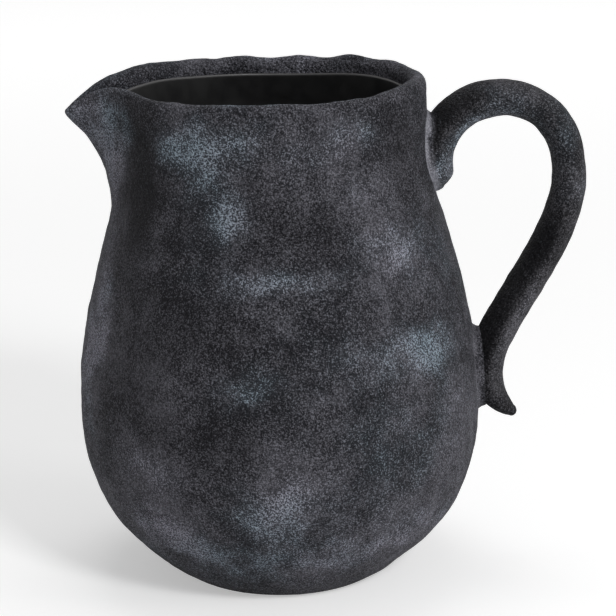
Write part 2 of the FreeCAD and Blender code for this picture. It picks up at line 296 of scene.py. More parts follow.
WALL_RELIEF = Relief(((0.046, 0.0007), (0.017, 0.00045), (0.0065, 0.00022), (0.0034, 0.00013)))
STRAP_RELIEF = Relief(((0.02, 0.0006), (0.008, 0.0003), (0.0034, 0.00013)), seed=21.3)
LUTING_RELIEF = Relief(((0.009, 0.0007), (0.0042, 0.00035), (0.0022, 0.00015)), seed=42.9)


@dataclass(frozen=True)
class Patches:
    """Soft uneven patches on the jug's outside.

    Each spot is its turn, its height, half its width in degrees, half its height and its strength.
    """

    spots: tuple[tuple[float, float, float, float, float], ...]
    seed: float
    fray_width: float = 0.016
    fray: float = 0.55
    drift_width: float = 0.034
    drift_turn: float = 7.0
    drift_seed_step: float = 7.0
    spread: float = 1.15
    power: float = 2.2

    def strength(self, points: Array) -> Array:
        """Adds up the patches.

        Args:
            points: Points of the jug's outside.

        Returns:
            Strength from 0 to 1 at each point.
        """
        turn = np.degrees(np.arctan2(-points[..., 1], -points[..., 0])) % 360.0
        frayed = self.fray * Cloud(self.fray_width, self.seed).at(points)
        drift = self.drift_turn * Cloud(self.drift_width, self.seed + self.drift_seed_step).at(points)
        total = np.zeros(points.shape[:-1])
        for middle, height, half_width, half_height, strength in self.spots:
            across = (turn - middle + 180.0) % 360.0 - 180.0 + drift
            away = np.hypot(across / half_width, (points[..., 2] - height) / half_height)
            total += strength * bell(np.maximum(away + frayed, 0.0), self.spread, self.power)
        return np.clip(total, 0.0, 1.0)


BLOOMS = Patches(seed=1.0, spots=(
    (54, 0.229, 13, 0.011, 0.8), (72, 0.234, 12, 0.008, 0.5), (98, 0.230, 20, 0.009, 0.3),
    (75, 0.199, 7, 0.009, 1.0), (66, 0.214, 10, 0.012, 0.35), (79, 0.167, 9, 0.0055, 0.75),
    (89, 0.169, 11, 0.005, 0.75), (91, 0.059, 8, 0.0125, 1.0), (89, 0.086, 7, 0.010, 0.2),
    (132, 0.178, 14, 0.012, 0.68), (143, 0.128, 11, 0.010, 0.9), (122, 0.132, 14, 0.010, 0.5),
    (81, 0.120, 8, 0.008, 0.6), (19, 0.112, 9, 0.030, 0.75), (17, 0.152, 8, 0.030, 0.8),
    (51, 0.075, 9, 0.010, 0.65), (52, 0.043, 13, 0.010, 0.9), (116, 0.235, 10, 0.006, 0.35),
    (123, 0.208, 12, 0.009, 0.3), (137, 0.040, 22, 0.012, 0.5), (12, 0.226, 9, 0.014, 0.85),
    (12, 0.206, 8, 0.012, 0.6), (150, 0.090, 14, 0.016, 0.35), (160, 0.170, 9, 0.012, 0.3),
    (205, 0.150, 20, 0.018, 0.6), (232, 0.214, 18, 0.012, 0.7), (262, 0.120, 22, 0.020, 0.6),
    (250, 0.060, 24, 0.016, 0.7), (285, 0.180, 16, 0.014, 0.7), (300, 0.090, 18, 0.018, 0.6),
    (322, 0.215, 14, 0.012, 0.7), (335, 0.150, 12, 0.020, 0.5), (215, 0.048, 18, 0.012, 0.5),
    (104, 0.034, 24, 0.008, 0.45), (20, 0.232, 10, 0.020, 1.0), (124, 0.082, 20, 0.028, 0.3),
    (66, 0.036, 14, 0.008, 0.5), (86, 0.021, 42, 0.010, 0.45), (348, 0.222, 9, 0.014, 0.7),
    (310, 0.042, 18, 0.010, 0.5),
))
# Dark patches: the spots at turns 33 and 40 are painted shade in the hollow between the pouring lip and the
# neck; the others darken the clay in patches.
STAINS_AND_SHADE = Patches(seed=30.0, spots=(
    (43, 0.116, 13, 0.030, 0.35), (33, 0.214, 9, 0.032, 0.85), (40, 0.185, 9, 0.026, 0.7),
    (64, 0.146, 14, 0.014, 0.35), (74, 0.096, 14, 0.012, 0.35), (142, 0.222, 10, 0.018, 0.3),
    (98, 0.190, 14, 0.012, 0.3), (329, 0.212, 8, 0.026, 0.6), (240, 0.170, 18, 0.014, 0.3),
    (280, 0.070, 20, 0.016, 0.3),
))


@dataclass
class PieceMesh:
    """Points, faces and marks of one piece while it is being made."""

    points: Array
    faces: list[list[int]]
    marks: dict[Mark, Array] = field(default_factory=dict)

    @classmethod
    def from_grid(cls, grid: Array, ends: Ends) -> "PieceMesh":
        """Skin over rows of closed turns.

        Args:
            grid: Points as rows of closed turns.
            ends: How the first and the last row are closed. A fan adds one point, its hub.

        Returns:
            The mesh, with its marks still empty.
        """
        rows, turns = grid.shape[:2]
        index = np.arange(rows * turns).reshape(rows, turns)
        beside = np.roll(index, -1, axis=1)
        faces: list[list[int]] = []
        for row in range(rows if ends is Ends.JOINED else rows - 1):
            above = (row + 1) % rows
            quads = np.stack([index[row], beside[row], beside[above], index[above]], axis=1)
            faces.extend(quads.tolist())
        points = grid.reshape(-1, 3)
        if ends is Ends.FANNED:
            for row, hub in ((0, len(points)), (-1, len(points) + 1)):
                for one, other in zip(index[row].tolist(), beside[row].tolist()):
                    faces.append([one, other, hub] if row else [other, one, hub])
            points = np.vstack([points, grid[0].mean(axis=0), grid[-1].mean(axis=0)])
        return cls(points, faces)

    def mark(self, mark: Mark, values: Array) -> None:
        """Keeps one mark, given for all points or for all but the hubs, which then stay unmarked."""
        self.marks[mark] = np.pad(values.ravel(), (0, len(self.points) - values.size))

    def build(self, name: str, node: str, slot: Slot, material: Material, envelope: Box) -> Object:
        """Makes the piece, dresses it and lets it stand for its solid.

        Args:
            name: Name of the piece.
            node: The solid that it stands for.
            slot: The record's slot that the finish belongs to; not used.
            material: Its finish.
            envelope: Box of the solids, which it stays inside.

        Returns:
            The finished piece.
        """
        mesh = bpy.data.meshes.new(name)
        mesh.from_pydata(np.clip(self.points, *envelope).tolist(), [], self.faces)
        mesh.polygons.foreach_set("use_smooth", [True] * len(mesh.polygons))
        for mark in Mark:
            values = self.marks.get(mark, np.zeros(len(self.points)))
            layer = mesh.attributes.new(mark.value, "FLOAT", "POINT")
            layer.data.foreach_set("value", np.clip(values, 0.0, 1.0).astype(np.float32))
        mesh.materials.append(material)
        mesh.update()
        piece = shown(name, mesh)
        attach(piece, "root")
        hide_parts(node)
        LOG.info("%s stands for %s with %d faces", name, node, len(mesh.polygons))
        return piece


@dataclass
class JugForm:
    """Sizes of the hand-built body, and the skin worked out from them."""

    rim_height: float = 0.25
    belly_radius: float = 0.1003
    belly_height: float = 0.09
    neck_radius: float = 0.0742
    neck_height: float = 0.226
    mouth_radius: float = 0.0739
    wall_thick: float = 0.006
    wall_foot_width: float = 0.009
    lip_thick: float = 0.008
    lip_angles: tuple[float, ...] = (0.0, 45.0, 90.0, 135.0, 180.0)
    body_lean: float = 0.0006
    dent_depth: float = 0.0008
    dents_round: float = 3.0
    dents_up: float = 3.0
    spout_start_height: float = 0.186
    spout_reach: float = 0.0282
    spout_shoulder: float = 0.0045
    spout_shoulder_angle: float = 58.0
    spout_drop: float = 0.014
    spout_drop_angle: float = 6.5
    spout_drop_power: float = 1.3
    late_lift_share: float = 0.32
    late_lift_power: int = 5
    keel_angle_at_rim: float = 11.5
    keel_angle_gain_below: float = 11.0
    keel_power_at_rim: float = 1.15
    keel_power_gain_below: float = 0.85
    shoulder_rise: float = 0.0032
    shoulder_skew: float = 0.003
    raised_shoulder_angle: float = 25.0
    rim_tilt: float = 0.0018
    rim_wave: float = 0.0007
    waves_round: float = 5.0
    wave_start_angle: float = 46.0
    slab_thick: float = 0.006
    slab_edge_radius: float = 0.0595
    glaze_thick: float = 0.0006
    glaze_edge_drop: float = 0.0075
    stations: int = 36
    measured_station: int = 12
    inner_lowest_row: int = 2
    inner_row_step: int = 2
    crowding: float = 0.5
    lower_wall_shares: tuple[Pair, ...] = (
        (0.0, 0.0), (0.112, 0.048), (0.268, 0.119), (0.484, 0.226), (0.664, 0.345),
        (0.794, 0.464), (0.909, 0.607), (0.978, 0.762), (0.995, 0.881), (1.0, 1.0),
    )
    upper_wall_shares: tuple[Pair, ...] = (
        (0.981, 0.11), (0.92, 0.206), (0.843, 0.294), (0.716, 0.404), (0.575, 0.515),
        (0.406, 0.625), (0.215, 0.735), (0.085, 0.846), (0.025, 0.926), (0.0, 1.0),
    )

    def outer_profile(self) -> list[Pair]:
        """Plain outside, from the slab floor up to the lip.

        Returns:
            Radius and height of each row.
        """
        foot, belly, neck = self.slab_edge_radius, self.belly_radius, self.neck_radius
        lower_rise, upper_rise = self.belly_height - self.slab_thick, self.neck_height - self.belly_height
        lower = [
            (foot + (belly - foot) * out, self.slab_thick + lower_rise * up)
            for out, up in self.lower_wall_shares
        ]
        upper = [
            (neck + (belly - neck) * out, self.belly_height + upper_rise * up)
            for out, up in self.upper_wall_shares
        ]
        return lower + upper

    def lip_profile(self) -> list[Pair]:
        """Rounded lip, from the outside to the inside.

        Returns:
            Radius and height of each row.
        """
        lip_round = self.lip_thick / 2.0
        centre_out = self.mouth_radius - lip_round
        centre_up = self.rim_height - lip_round
        profile = [((self.neck_radius + self.mouth_radius) / 2.0, (self.neck_height + centre_up) / 2.0)]
        for angle in self.lip_angles:
            out, up = math.cos(math.radians(angle)), math.sin(math.radians(angle))
            profile.append((centre_out + lip_round * out, centre_up + lip_round * up))
        return profile

    def inner_profile(self) -> list[Pair]:
        """Plain inside, from the glaze edge down to the slab floor.

        Returns:
            Radius and height of each row.
        """
        outside = self.outer_profile()
        profile = [(self.mouth_radius - self.lip_thick, self.rim_height - self.glaze_edge_drop)]
        for station in range(len(outside) - 1, self.inner_lowest_row, -self.inner_row_step):
            below, above = outside[station - 1], outside[min(station + 1, len(outside) - 1)]
            run, rise = above[0] - below[0], above[1] - below[1]
            length = math.hypot(run, rise)
            out, up = outside[station]
            profile.append((out - self.wall_thick * rise / length, up + self.wall_thick * run / length))
        profile.append((self.slab_edge_radius - self.wall_foot_width, self.slab_thick))
        return profile

    def stops(self) -> Triple:
        """Counts the rows of the profile.

        Returns:
            Places where the lip starts, the glaze starts and the skin ends.
        """
        glaze_row = len(self.outer_profile() + self.lip_profile())
        last_row = glaze_row + len(self.inner_profile())
        return len(self.outer_profile()) - 1.0, glaze_row - 1.0, float(last_row - CURVE_DEGREE)

    def crowded_turn(self, count: int) -> Array:
        """Angles in radians once round, set closer together at the pouring lip."""
        even = full_turn(count)
        return even - self.crowding * np.sin(even)

    def place(self, angle: Array, radius: Array, height: Array) -> Array:
        """Places of wall points, with the pulled lip, the uneven rim and the soft dents.

        Args:
            angle: Turn round the jug in radians, from the pouring lip through the front.
            radius: Radius of the plain profile.
            height: Height of the plain profile.

        Returns:
            Points with a last axis of 3.
        """
        spout_rise = self.rim_height - self.spout_start_height
        share = np.clip((height - self.spout_start_height) / spout_rise, 0.0, 1.0)
        late = self.late_lift_share
        lift = (1.0 - late) * share + late * share**self.late_lift_power
        away = np.degrees(np.arccos(np.clip(np.cos(angle), -1.0, 1.0)))
        keel_angle = self.keel_angle_at_rim + self.keel_angle_gain_below * (1.0 - lift)
        keel_power = self.keel_power_at_rim + self.keel_power_gain_below * (1.0 - lift)
        shoulder = self.spout_shoulder * bell(away, self.spout_shoulder_angle)
        wall_rise = (height - self.slab_thick) / (self.rim_height - self.slab_thick)
        dent = np.sin(self.dents_round * angle) * np.sin(self.dents_up * math.pi * wall_rise)
        out = radius + self.dent_depth * dent
        out = out + lift * (self.spout_reach * bell(away, keel_angle, keel_power) + shoulder)
        wave = np.sin(self.waves_round * angle + math.radians(self.wave_start_angle))
        uneven = self.rim_wave * wave - self.rim_tilt * np.cos(angle)
        beside_lip = bell(away - self.raised_shoulder_angle, self.raised_shoulder_angle)
        uneven += (self.shoulder_rise - self.shoulder_skew * np.sin(angle)) * beside_lip
        uneven -= self.spout_drop * bell(away, self.spout_drop_angle, self.spout_drop_power)
        up = height + smooth_rise(self.spout_start_height, self.rim_height, height) * uneven
        lean = self.body_lean * smooth_rise(self.slab_thick, self.belly_height, height)
        return np.stack([-out * np.cos(angle) - lean, -out * np.sin(angle), up], axis=-1)

    def skin(self, row_places: Array, turns: int) -> Array:
        """Smooth skin up the outside, over the lip and down the inside.

        Args:
            row_places: Places along the profile.
            turns: Number of points round the jug.

        Returns:
            Points as rows of closed turns.
        """
        angle = self.crowded_turn(self.stations)
        profile = np.array(self.outer_profile() + self.lip_profile() + self.inner_profile())
        through = self.place(angle[:, None], profile[None, :, 0], profile[None, :, 1])
        before, after = np.roll(through, 1, axis=0), np.roll(through, -1, axis=0)
        around = through - (before - 2.0 * through + after) / 6.0
        poles = around.copy()
        poles[:, 1:-1] -= (around[:, :-2] - 2.0 * around[:, 1:-1] + around[:, 2:]) / 6.0
        poles = np.concatenate([poles[-1:], poles, poles[:2]], axis=0)
        turn_knots = np.arange(-CURVE_DEGREE, self.stations + CURVE_DEGREE + 1.0)
        turn_places = np.arange(turns) * self.stations / turns
        spans = profile.shape[0] - CURVE_DEGREE
        ends = [np.zeros(CURVE_DEGREE), np.arange(spans + 1.0), np.full(CURVE_DEGREE, spans)]
        turn_weights = cubic_weights(turn_knots, turn_places)
        row_weights = cubic_weights(np.concatenate(ends), row_places)
        return np.einsum("rp,ts,spk->rtk", row_weights, turn_weights, poles, optimize=True)

    def rows_by_length(self, start: float, end: float, step: float) -> Array:
        """Places along the profile that lie one step apart on the skin.

        Args:
            start: First place.
            end: Last place.
            step: Wanted distance.

        Returns:
            Places from start to end.
        """
        fine = np.linspace(start, end, PROFILE_SAMPLES)
        length = lengths_along(self.skin(fine, self.stations)[:, self.measured_station])
        count = max(int(round(length[-1] / step)), 2)
        return np.interp(np.linspace(0.0, length[-1], count + 1), length, fine)

    def reach(self, height: float) -> float:
        """How far out the plain wall stands towards the handle at one height."""
        line = self.skin(np.linspace(0.0, self.stops()[0] + 1.0, PROFILE_SAMPLES), 2)[:, 1]
        return float(np.interp(height, line[:, 2], line[:, 0]))

    def lean(self, height: float, half_span: float) -> float:
        """How far in radians the plain wall leans back from upright at one height."""
        inward = self.reach(height - half_span) - self.reach(height + half_span)
        return math.atan2(inward, 2.0 * half_span)


@dataclass(frozen=True)
class RimHumps:
    """Small humps that finger tips left round the rim, with turns from the handle through the back."""

    count: int = 15
    height: float = 0.0007
    start: float = 9.0
    middle: float = 68.0
    spread: float = 52.0
    least_share: float = 0.3
    spout_spread: float = 40.0
    sharpness: float = 4.0
    fade_depths: Pair = (0.0085, 0.003)
    wobble: float = 0.0005
    wobble_cloud: Cloud = Cloud(0.016, 5.1)

    def press(self, points: Array, rim_height: float) -> Array:
        """Raises and lowers the rim.

        Args:
            points: Points of the wall.
            rim_height: Height of the plain rim.

        Returns:
            The same points, moved up or down near the rim.
        """
        turn = np.degrees(np.arctan2(points[..., 1], points[..., 0]))
        humps = np.cos(np.radians(self.count * (turn - self.start)))
        middle = bell(turn - self.middle, self.spread, self.sharpness)
        strength = self.least_share + (1.0 - self.least_share) * middle
        strength = strength * (1.0 - bell(np.abs(turn) - 180.0, self.spout_spread, self.sharpness))
        low, high = (rim_height - depth for depth in self.fade_depths)
        wobble = self.wobble * self.wobble_cloud.at(points * np.array([1.0, 1.0, 0.0]))
        moved = points.copy()
        moved[..., 2] += smooth_rise(low, high, points[..., 2]) * (self.height * strength * humps + wobble)
        return moved


@dataclass(frozen=True)
class ThumbedTip:
    """Tip of the pouring lip, softened as a thumb does."""

    width: float = 0.015
    gain: float = 0.0034
    rounds: int = 70
    pull: float = 0.6

    def press(self, grid: Array) -> Array:
        """Blunts the tip.

        Args:
            grid: Rows of the wall, closed in both directions.

        Returns:
            The same rows, moved near the tip.
        """
        tip = grid.reshape(-1, 3)[np.argmin(grid[..., 0])]
        near = smooth_rise(self.width, 0.0, np.linalg.norm(grid - tip, axis=2))[..., None]
        soft = grid - near * np.array([self.gain, 0.0, 0.0])
        for _ in range(self.rounds):
            beside = np.roll(soft, 1, axis=1) + np.roll(soft, -1, axis=1)
            along = np.roll(soft, 1, axis=0) + np.roll(soft, -1, axis=0)
            soft = soft + self.pull * near * ((beside + along) / 4.0 - soft)
        return soft


@dataclass
class Body:
    """The wall, the slab it stands on and the glaze inside them.

    Its outer tree finds places on the wall's outside, and is there once the wall is built. The pair of
    lip_wear is an even share and the share that a cloud adds. The triple of inner_bloom is a strength and
    the middle and spread of a bell. Fades that count rows start from the glaze's edge.
    """

    form: JugForm
    envelope: Box
    outer_tree: BVHTree | None = None
    humps: RimHumps = RimHumps()
    tip: ThumbedTip = ThumbedTip()
    turns: int = 520
    wall_steps: Triple = (0.0018, 0.0008, 0.004)
    liner_steps: Pair = (0.0004, 0.0022)
    liner_edge_rows: float = 0.5
    bare_fade_rows: Pair = (0.2, -0.4)
    lip_middle_row: float = 3.0
    lip_crest_rows: float = 0.8
    tree_end_row: float = 2.0
    seam_fade: float = 0.004
    lip_wear: Pair = (0.6, 0.4)
    lip_wear_cloud: Cloud = Cloud(0.02, 8.0)
    inner_bloom: Triple = (0.5, 0.5, 0.3)
    inner_bloom_cloud: Cloud = Cloud(0.03, 14.0)
    foot_radius: float = 0.05
    foot_round: float = 0.0015
    foot_ring_width: float = 0.012
    foot_recess: float = 0.001
    foot_relief_rise: float = 0.0015
    foot_wear: float = 0.7
    foot_wear_rise: float = 0.0012
    foot_wear_width: float = 0.004
    slab_bloom: float = 0.6
    slab_hub_radius: float = 0.002
    slab_rows: tuple[int, int, int, int] = (18, 8, 7, 6)
    glaze_highlight_width: float = 0.0008
    glaze_round: float = 0.0012
    glaze_sink: float = 0.15
    glaze_ripple: float = 0.00005
    glaze_cloud: Cloud = Cloud(0.03, 60.0)
    floor_rings: int = 20
    floor_hub_share: float = 0.03
    floor_ripple: float = 0.0003
    floor_cloud: Cloud = Cloud(0.018, 77.0)
    floor_depth: float = 1.1
    corner_rows: int = 6
    corner_rounds: int = 24
    slip_fray: float = 0.0012
    slip_cloud: Cloud = Cloud(0.006, 81.0)

    def seam_share(self, points: Array) -> Array:
        """0 where wall and slab meet, rising to 1 away from their seam."""
        return smooth_rise(0.0, self.seam_fade, np.abs(points[..., 2] - self.form.slab_thick))

    def build_wall(self, material: Material) -> Object:
        """The coiled wall with its pulled lip, as one closed skin.

        Args:
            material: Its finish.

        Returns:
            The wall piece.
        """
        stops = self.form.stops()
        lip_start, glaze_start, _ = stops
        starts = (0.0, lip_start, glaze_start)
        rows = [self.form.rows_by_length(*band) for band in zip(starts, stops, self.wall_steps)]
        places = np.concatenate([rows[0][:-1], rows[1][:-1], rows[2]])
        grid = self.tip.press(self.humps.press(self.form.skin(places, self.turns), self.form.rim_height))
        bare = smooth_rise(*(glaze_start + fade for fade in self.bare_fade_rows), places)[:, None]
        grid = WALL_RELIEF.press(grid, self.seam_share(grid) * bare)
        outside = PieceMesh.from_grid(grid[places <= lip_start + self.tree_end_row], Ends.OPEN)
        self.outer_tree = BVHTree.FromPolygons(outside.points.tolist(), outside.faces)
        mesh = PieceMesh.from_grid(grid, Ends.JOINED)
        from_crest = (places - lip_start - self.lip_middle_row)[:, None]
        even, uneven = self.lip_wear
        worn = even + uneven * self.lip_wear_cloud.at(grid)
        mesh.mark(Mark.WEAR_AND_HIGHLIGHT, bell(from_crest, self.lip_crest_rows) * worn)
        outer = (from_crest < 0.0).astype(float)
        strength, middle, spread = self.inner_bloom
        inner_bloom = strength * bell(self.inner_bloom_cloud.at(grid) - middle, spread)
        mesh.mark(Mark.BLOOM, BLOOMS.strength(grid) * outer + inner_bloom * (1.0 - outer))
        # Stains, with painted shade in the hollow between the pouring lip and the neck.
        mesh.mark(Mark.STAIN_AND_SHADE, STAINS_AND_SHADE.strength(grid) * outer)
        mesh.mark(Mark.SLIP, sum(luting.slip_on_wall(self.form, grid) for luting in LUTINGS) * outer)
        return mesh.build("vessel_wall_clay", "vessel_wall", Slot.STONEWARE, material, self.envelope)

    def seated(self, points: Array, depth: float) -> Array:
        """Lifts points that lie too deep in the wall to one depth under its skin.

        Args:
            points: Points of a piece that the wall carries.
            depth: Largest depth.

        Returns:
            The points, in the same shape.
        """
        flat = points.reshape(-1, 3).copy()
        for index, point in enumerate(flat.tolist()):
            nearest, normal, _, _ = self.outer_tree.find_nearest(point)
            if (Vector(point) - nearest).dot(normal) < -depth:
                flat[index] = nearest - normal * depth
        return flat.reshape(points.shape)

    def slip_near_wall(self, points: Array, fade: Pair) -> Array:
        """Slip brushed over a joint: none at the first distance from the wall, full at the second."""
        near = np.array([self.outer_tree.find_nearest(point)[3] for point in points.tolist()])
        return smooth_rise(*fade, near + self.slip_fray * self.slip_cloud.at(points))

    def slab_profile(self) -> Array:
        """Outline of the slab: hollowed middle, foot ring, rounded edge, side and floor.

        Returns:
            Radius and height of each row.
        """
        recess, hub = self.foot_recess, self.slab_hub_radius
        edge, top = self.form.slab_edge_radius, self.form.slab_thick
        middle_rows, ring_rows, round_rows, side_rows = self.slab_rows
        ring_inside = self.foot_radius - self.foot_ring_width
        slope = math.atan2(top, edge - self.foot_radius)
        flat_end = self.foot_radius - self.foot_round * math.tan(slope / 2.0)
        turn = np.linspace(0.0, slope, round_rows)
        out, up = self.foot_round * np.sin(turn), self.foot_round * (1.0 - np.cos(turn))
        rounded = np.stack([flat_end + out, up])
        return np.concatenate([
            np.linspace((hub, recess), (ring_inside - recess, recess), middle_rows),
            np.linspace((ring_inside, 0.0), (flat_end, 0.0), ring_rows)[:-1],
            rounded.T,
            np.linspace(rounded[:, -1], (edge, top), side_rows)[1:],
            np.linspace((edge, top), (hub, top), side_rows)[1:],
        ])

    def build_slab(self, material: Material) -> Object:
        """The slab floor with its soft foot ring and hollowed middle.

        Args:
            material: Its finish.

        Returns:
            The slab piece.
        """
        profile = self.slab_profile()
        angle = self.form.crowded_turn(self.turns)
        out, up = profile[:, :1], np.repeat(profile[:, 1:], self.turns, axis=1)
        grid = np.stack([-out * np.cos(angle), -out * np.sin(angle), up], axis=-1)
        off_floor = smooth_rise(0.0, self.foot_relief_rise, up)
        grid = WALL_RELIEF.press(grid, self.seam_share(grid) * off_floor)
        mesh = PieceMesh.from_grid(grid, Ends.FANNED)
        mesh.mark(Mark.BLOOM, self.slab_bloom * BLOOMS.strength(grid))
        ring_inside = self.foot_radius - self.foot_ring_width
        radius = np.hypot(grid[..., 0], grid[..., 1])
        on_ring = smooth_rise(ring_inside, ring_inside + self.foot_wear_width, radius)
        mesh.mark(Mark.WEAR_AND_HIGHLIGHT, self.foot_wear * on_ring * smooth_rise(self.foot_wear_rise, 0.0, grid[..., 2]))
        return mesh.build("base_slab_clay", "base_slab", Slot.STONEWARE, material, self.envelope)

    def build_liner(self, material: Material) -> Object:
        """The glaze coat inside, with its rounded edge under the lip and a painted highlight marked along
        that edge.

        Args:
            material: Its finish.

        Returns:
            The glaze piece.
        """
        _, glaze_start, last = self.form.stops()
        edge_end = glaze_start + self.liner_edge_rows
        edge = self.form.rows_by_length(glaze_start, edge_end, self.liner_steps[0])[:-1]
        rest = self.form.rows_by_length(edge_end, last, self.liner_steps[1])
        wall = self.form.skin(np.concatenate([edge, rest]), self.turns)
        normals = grid_normals(wall)
        thick, sink = self.form.glaze_thick, self.glaze_sink
        down = lengths_along(wall[:, 0])
        past_edge = np.clip(down / self.glaze_round, 0.0, 1.0)
        swell = np.sqrt(past_edge * (2.0 - past_edge))[:, None]
        ripple = self.glaze_ripple * self.glaze_cloud.at(wall)
        front = wall + normals * (thick * ((1.0 + sink) * swell - sink) + ripple * swell)[..., None]
        back = (wall - normals * (sink * thick))[1:]
        floor_up = self.form.slab_thick + thick
        shares = np.linspace(1.0, self.floor_hub_share, self.floor_rings)[1:, None, None]
        floor = front[-1] * np.concatenate([shares, shares, np.ones(shares.shape)], axis=2)
        floor[..., 2] = floor_up + self.floor_ripple * self.floor_cloud.at(floor)
        front = self.rounded_corner(np.concatenate([front, floor]), len(wall))
        flat, hub = np.array([1.0, 1.0, 0.0]), self.floor_hub_share
        under = back[-1] * flat + (0.0, 0.0, floor_up - self.floor_depth * thick)
        under_hub = under * (hub, hub, 1.0)
        grid = np.concatenate([under_hub[None], under[None], back[::-1], front])
        mesh = PieceMesh.from_grid(grid, Ends.FANNED)
        # Painted highlight: a thin light line along the glaze's top edge, kept in the wear mark.
        thin = bell(down, self.glaze_highlight_width)
        thin = np.concatenate([np.zeros(len(back) + 2), thin, np.zeros(len(floor))])
        mesh.mark(Mark.WEAR_AND_HIGHLIGHT, np.repeat(thin, self.turns))
        return mesh.build("glaze_coat", "glaze_liner", Slot.GLAZE, material, self.envelope)

    def rounded_corner(self, front: Array, corner: int) -> Array:
        """Smooths the glaze where the wall turns into the floor.

        Args:
            front: Rows of the glaze's front.
            corner: Number of the row at which the floor starts.

        Returns:
            The same rows, smoothed.
        """
        first, last = corner - self.corner_rows, corner + self.corner_rows
        for _ in range(self.corner_rounds):
            around = (front[first - 1:last - 1] + front[first + 1:last + 1]) / 2.0
            front[first:last] = (front[first:last] + around) / 2.0
        return front


@dataclass(frozen=True)
class Luting:
    """Clay pressed round one end of the strap: its place on the wall, its size and its rings.

    Each ring is its reach out of the wall, then shares of the half height and half width.
    """

    name: str
    node: str
    height: float
    half_height: float
    half_width: float
    rings: tuple[Triple, ...]
    slip_share: float = 1.0
    turns: int = 160
    steps: int = 34
    end_rings: int = 8
    end_shares: Pair = (0.9, 0.08)
    end_reach: float = 0.0003
    seat_depth: float = 0.0012
    wall_slip_fade: Pair = (1.28, 1.0)
    wall_slip_fray: float = 0.12
    wall_slip_cloud: Cloud = Cloud(0.007, 17.0)
    slip_fade: Pair = (0.0036, 0.0003)
    slip_uneven: Pair = (0.75, 0.35)
    slip_uneven_cloud: Cloud = Cloud(0.012, 70.0)

    def slip_on_wall(self, form: JugForm, points: Array) -> Array:
        """Pale slip that was brushed over the joint's edge onto the wall.

        Args:
            form: The jug's form.
            points: Points of the wall.

        Returns:
            Strength from 0 to 1 at each point.
        """
        _, tall, wide = self.rings[1]
        up = (points[..., 2] - self.height) / (self.half_height * tall)
        away = np.hypot(up, points[..., 1] / (self.half_width * wide))
        away = away + self.wall_slip_fray * self.wall_slip_cloud.at(points)
        near_handle = smooth_rise(0.0, form.neck_radius / 2.0, points[..., 0])
        return self.slip_share * near_handle * smooth_rise(*self.wall_slip_fade, away)

    def sections(self) -> Array:
        """Fills in the rings and closes them in at both ends.

        Returns:
            Reach, half height and half width of every ring.
        """
        places = np.arange(len(self.rings), dtype=float)
        fine = curve_through(places, np.array(self.rings), np.linspace(0.0, places[-1], self.steps))
        shares = np.linspace(*self.end_shares, self.end_rings)[:, None]
        shrink = np.concatenate([np.ones(shares.shape), shares, shares], axis=1)
        ends = fine[0] * shrink[::-1], fine[-1] * shrink + (self.end_reach, 0.0, 0.0)
        return np.concatenate([ends[0], fine, ends[1]]) * (1.0, self.half_height, self.half_width)

    def build(self, body: Body, material: Material) -> Object:
        """The ring of clay, seated in the wall.

        Args:
            body: The body that carries it.
            material: Its finish.

        Returns:
            The luting piece.
        """
        lean = body.form.lean(self.height, self.half_height / 2.0)
        reach, tall, wide = np.split(self.sections(), 3, axis=1)
        turn = full_turn(self.turns)
        y = -wide * np.sin(turn)
        z = self.height + reach * math.sin(lean) + tall * np.cos(turn) * math.cos(lean)
        start, inward = body.form.belly_radius * 2.0, Vector((-1.0, 0.0, 0.0))
        rays = zip(y.ravel().tolist(), z.ravel().tolist())
        wall = [body.outer_tree.ray_cast(Vector((start, across, up)), inward)[0].x for across, up in rays]
        x = np.array(wall).reshape(z.shape) + reach * math.cos(lean)
        grid = body.seated(LUTING_RELIEF.press(np.stack([x, y, z], axis=-1)), self.seat_depth)
        mesh = PieceMesh.from_grid(grid, Ends.FANNED)
        even, uneven = self.slip_uneven
        brushed = even + uneven * self.slip_uneven_cloud.at(mesh.points)
        mesh.mark(Mark.SLIP, self.slip_share * brushed * body.slip_near_wall(mesh.points, self.slip_fade))
        return mesh.build(self.name, self.node, Slot.SLIP, material, body.envelope)


LUTINGS = (
    Luting(
        "upper_luting_clay", "upper_luting", 0.2146, 0.0176, 0.013,
        ((-0.0015, 1.27, 1.5), (0.0, 1.14, 1.32), (0.0012, 1.07, 1.2), (0.003, 0.98, 1.07),
         (0.0045, 0.86, 0.9), (0.006, 0.66, 0.66)),
    ),
    Luting(
        "lower_luting_clay", "lower_luting", 0.1025, 0.018, 0.013,
        ((-0.0015, 1.3, 1.46), (0.0, 1.22, 1.3), (0.0013, 1.165, 1.19), (0.0028, 1.15, 1.1),
         (0.0045, 1.1, 1.0), (0.006, 0.85, 0.8)),
        slip_share=0.5,
    ),
)


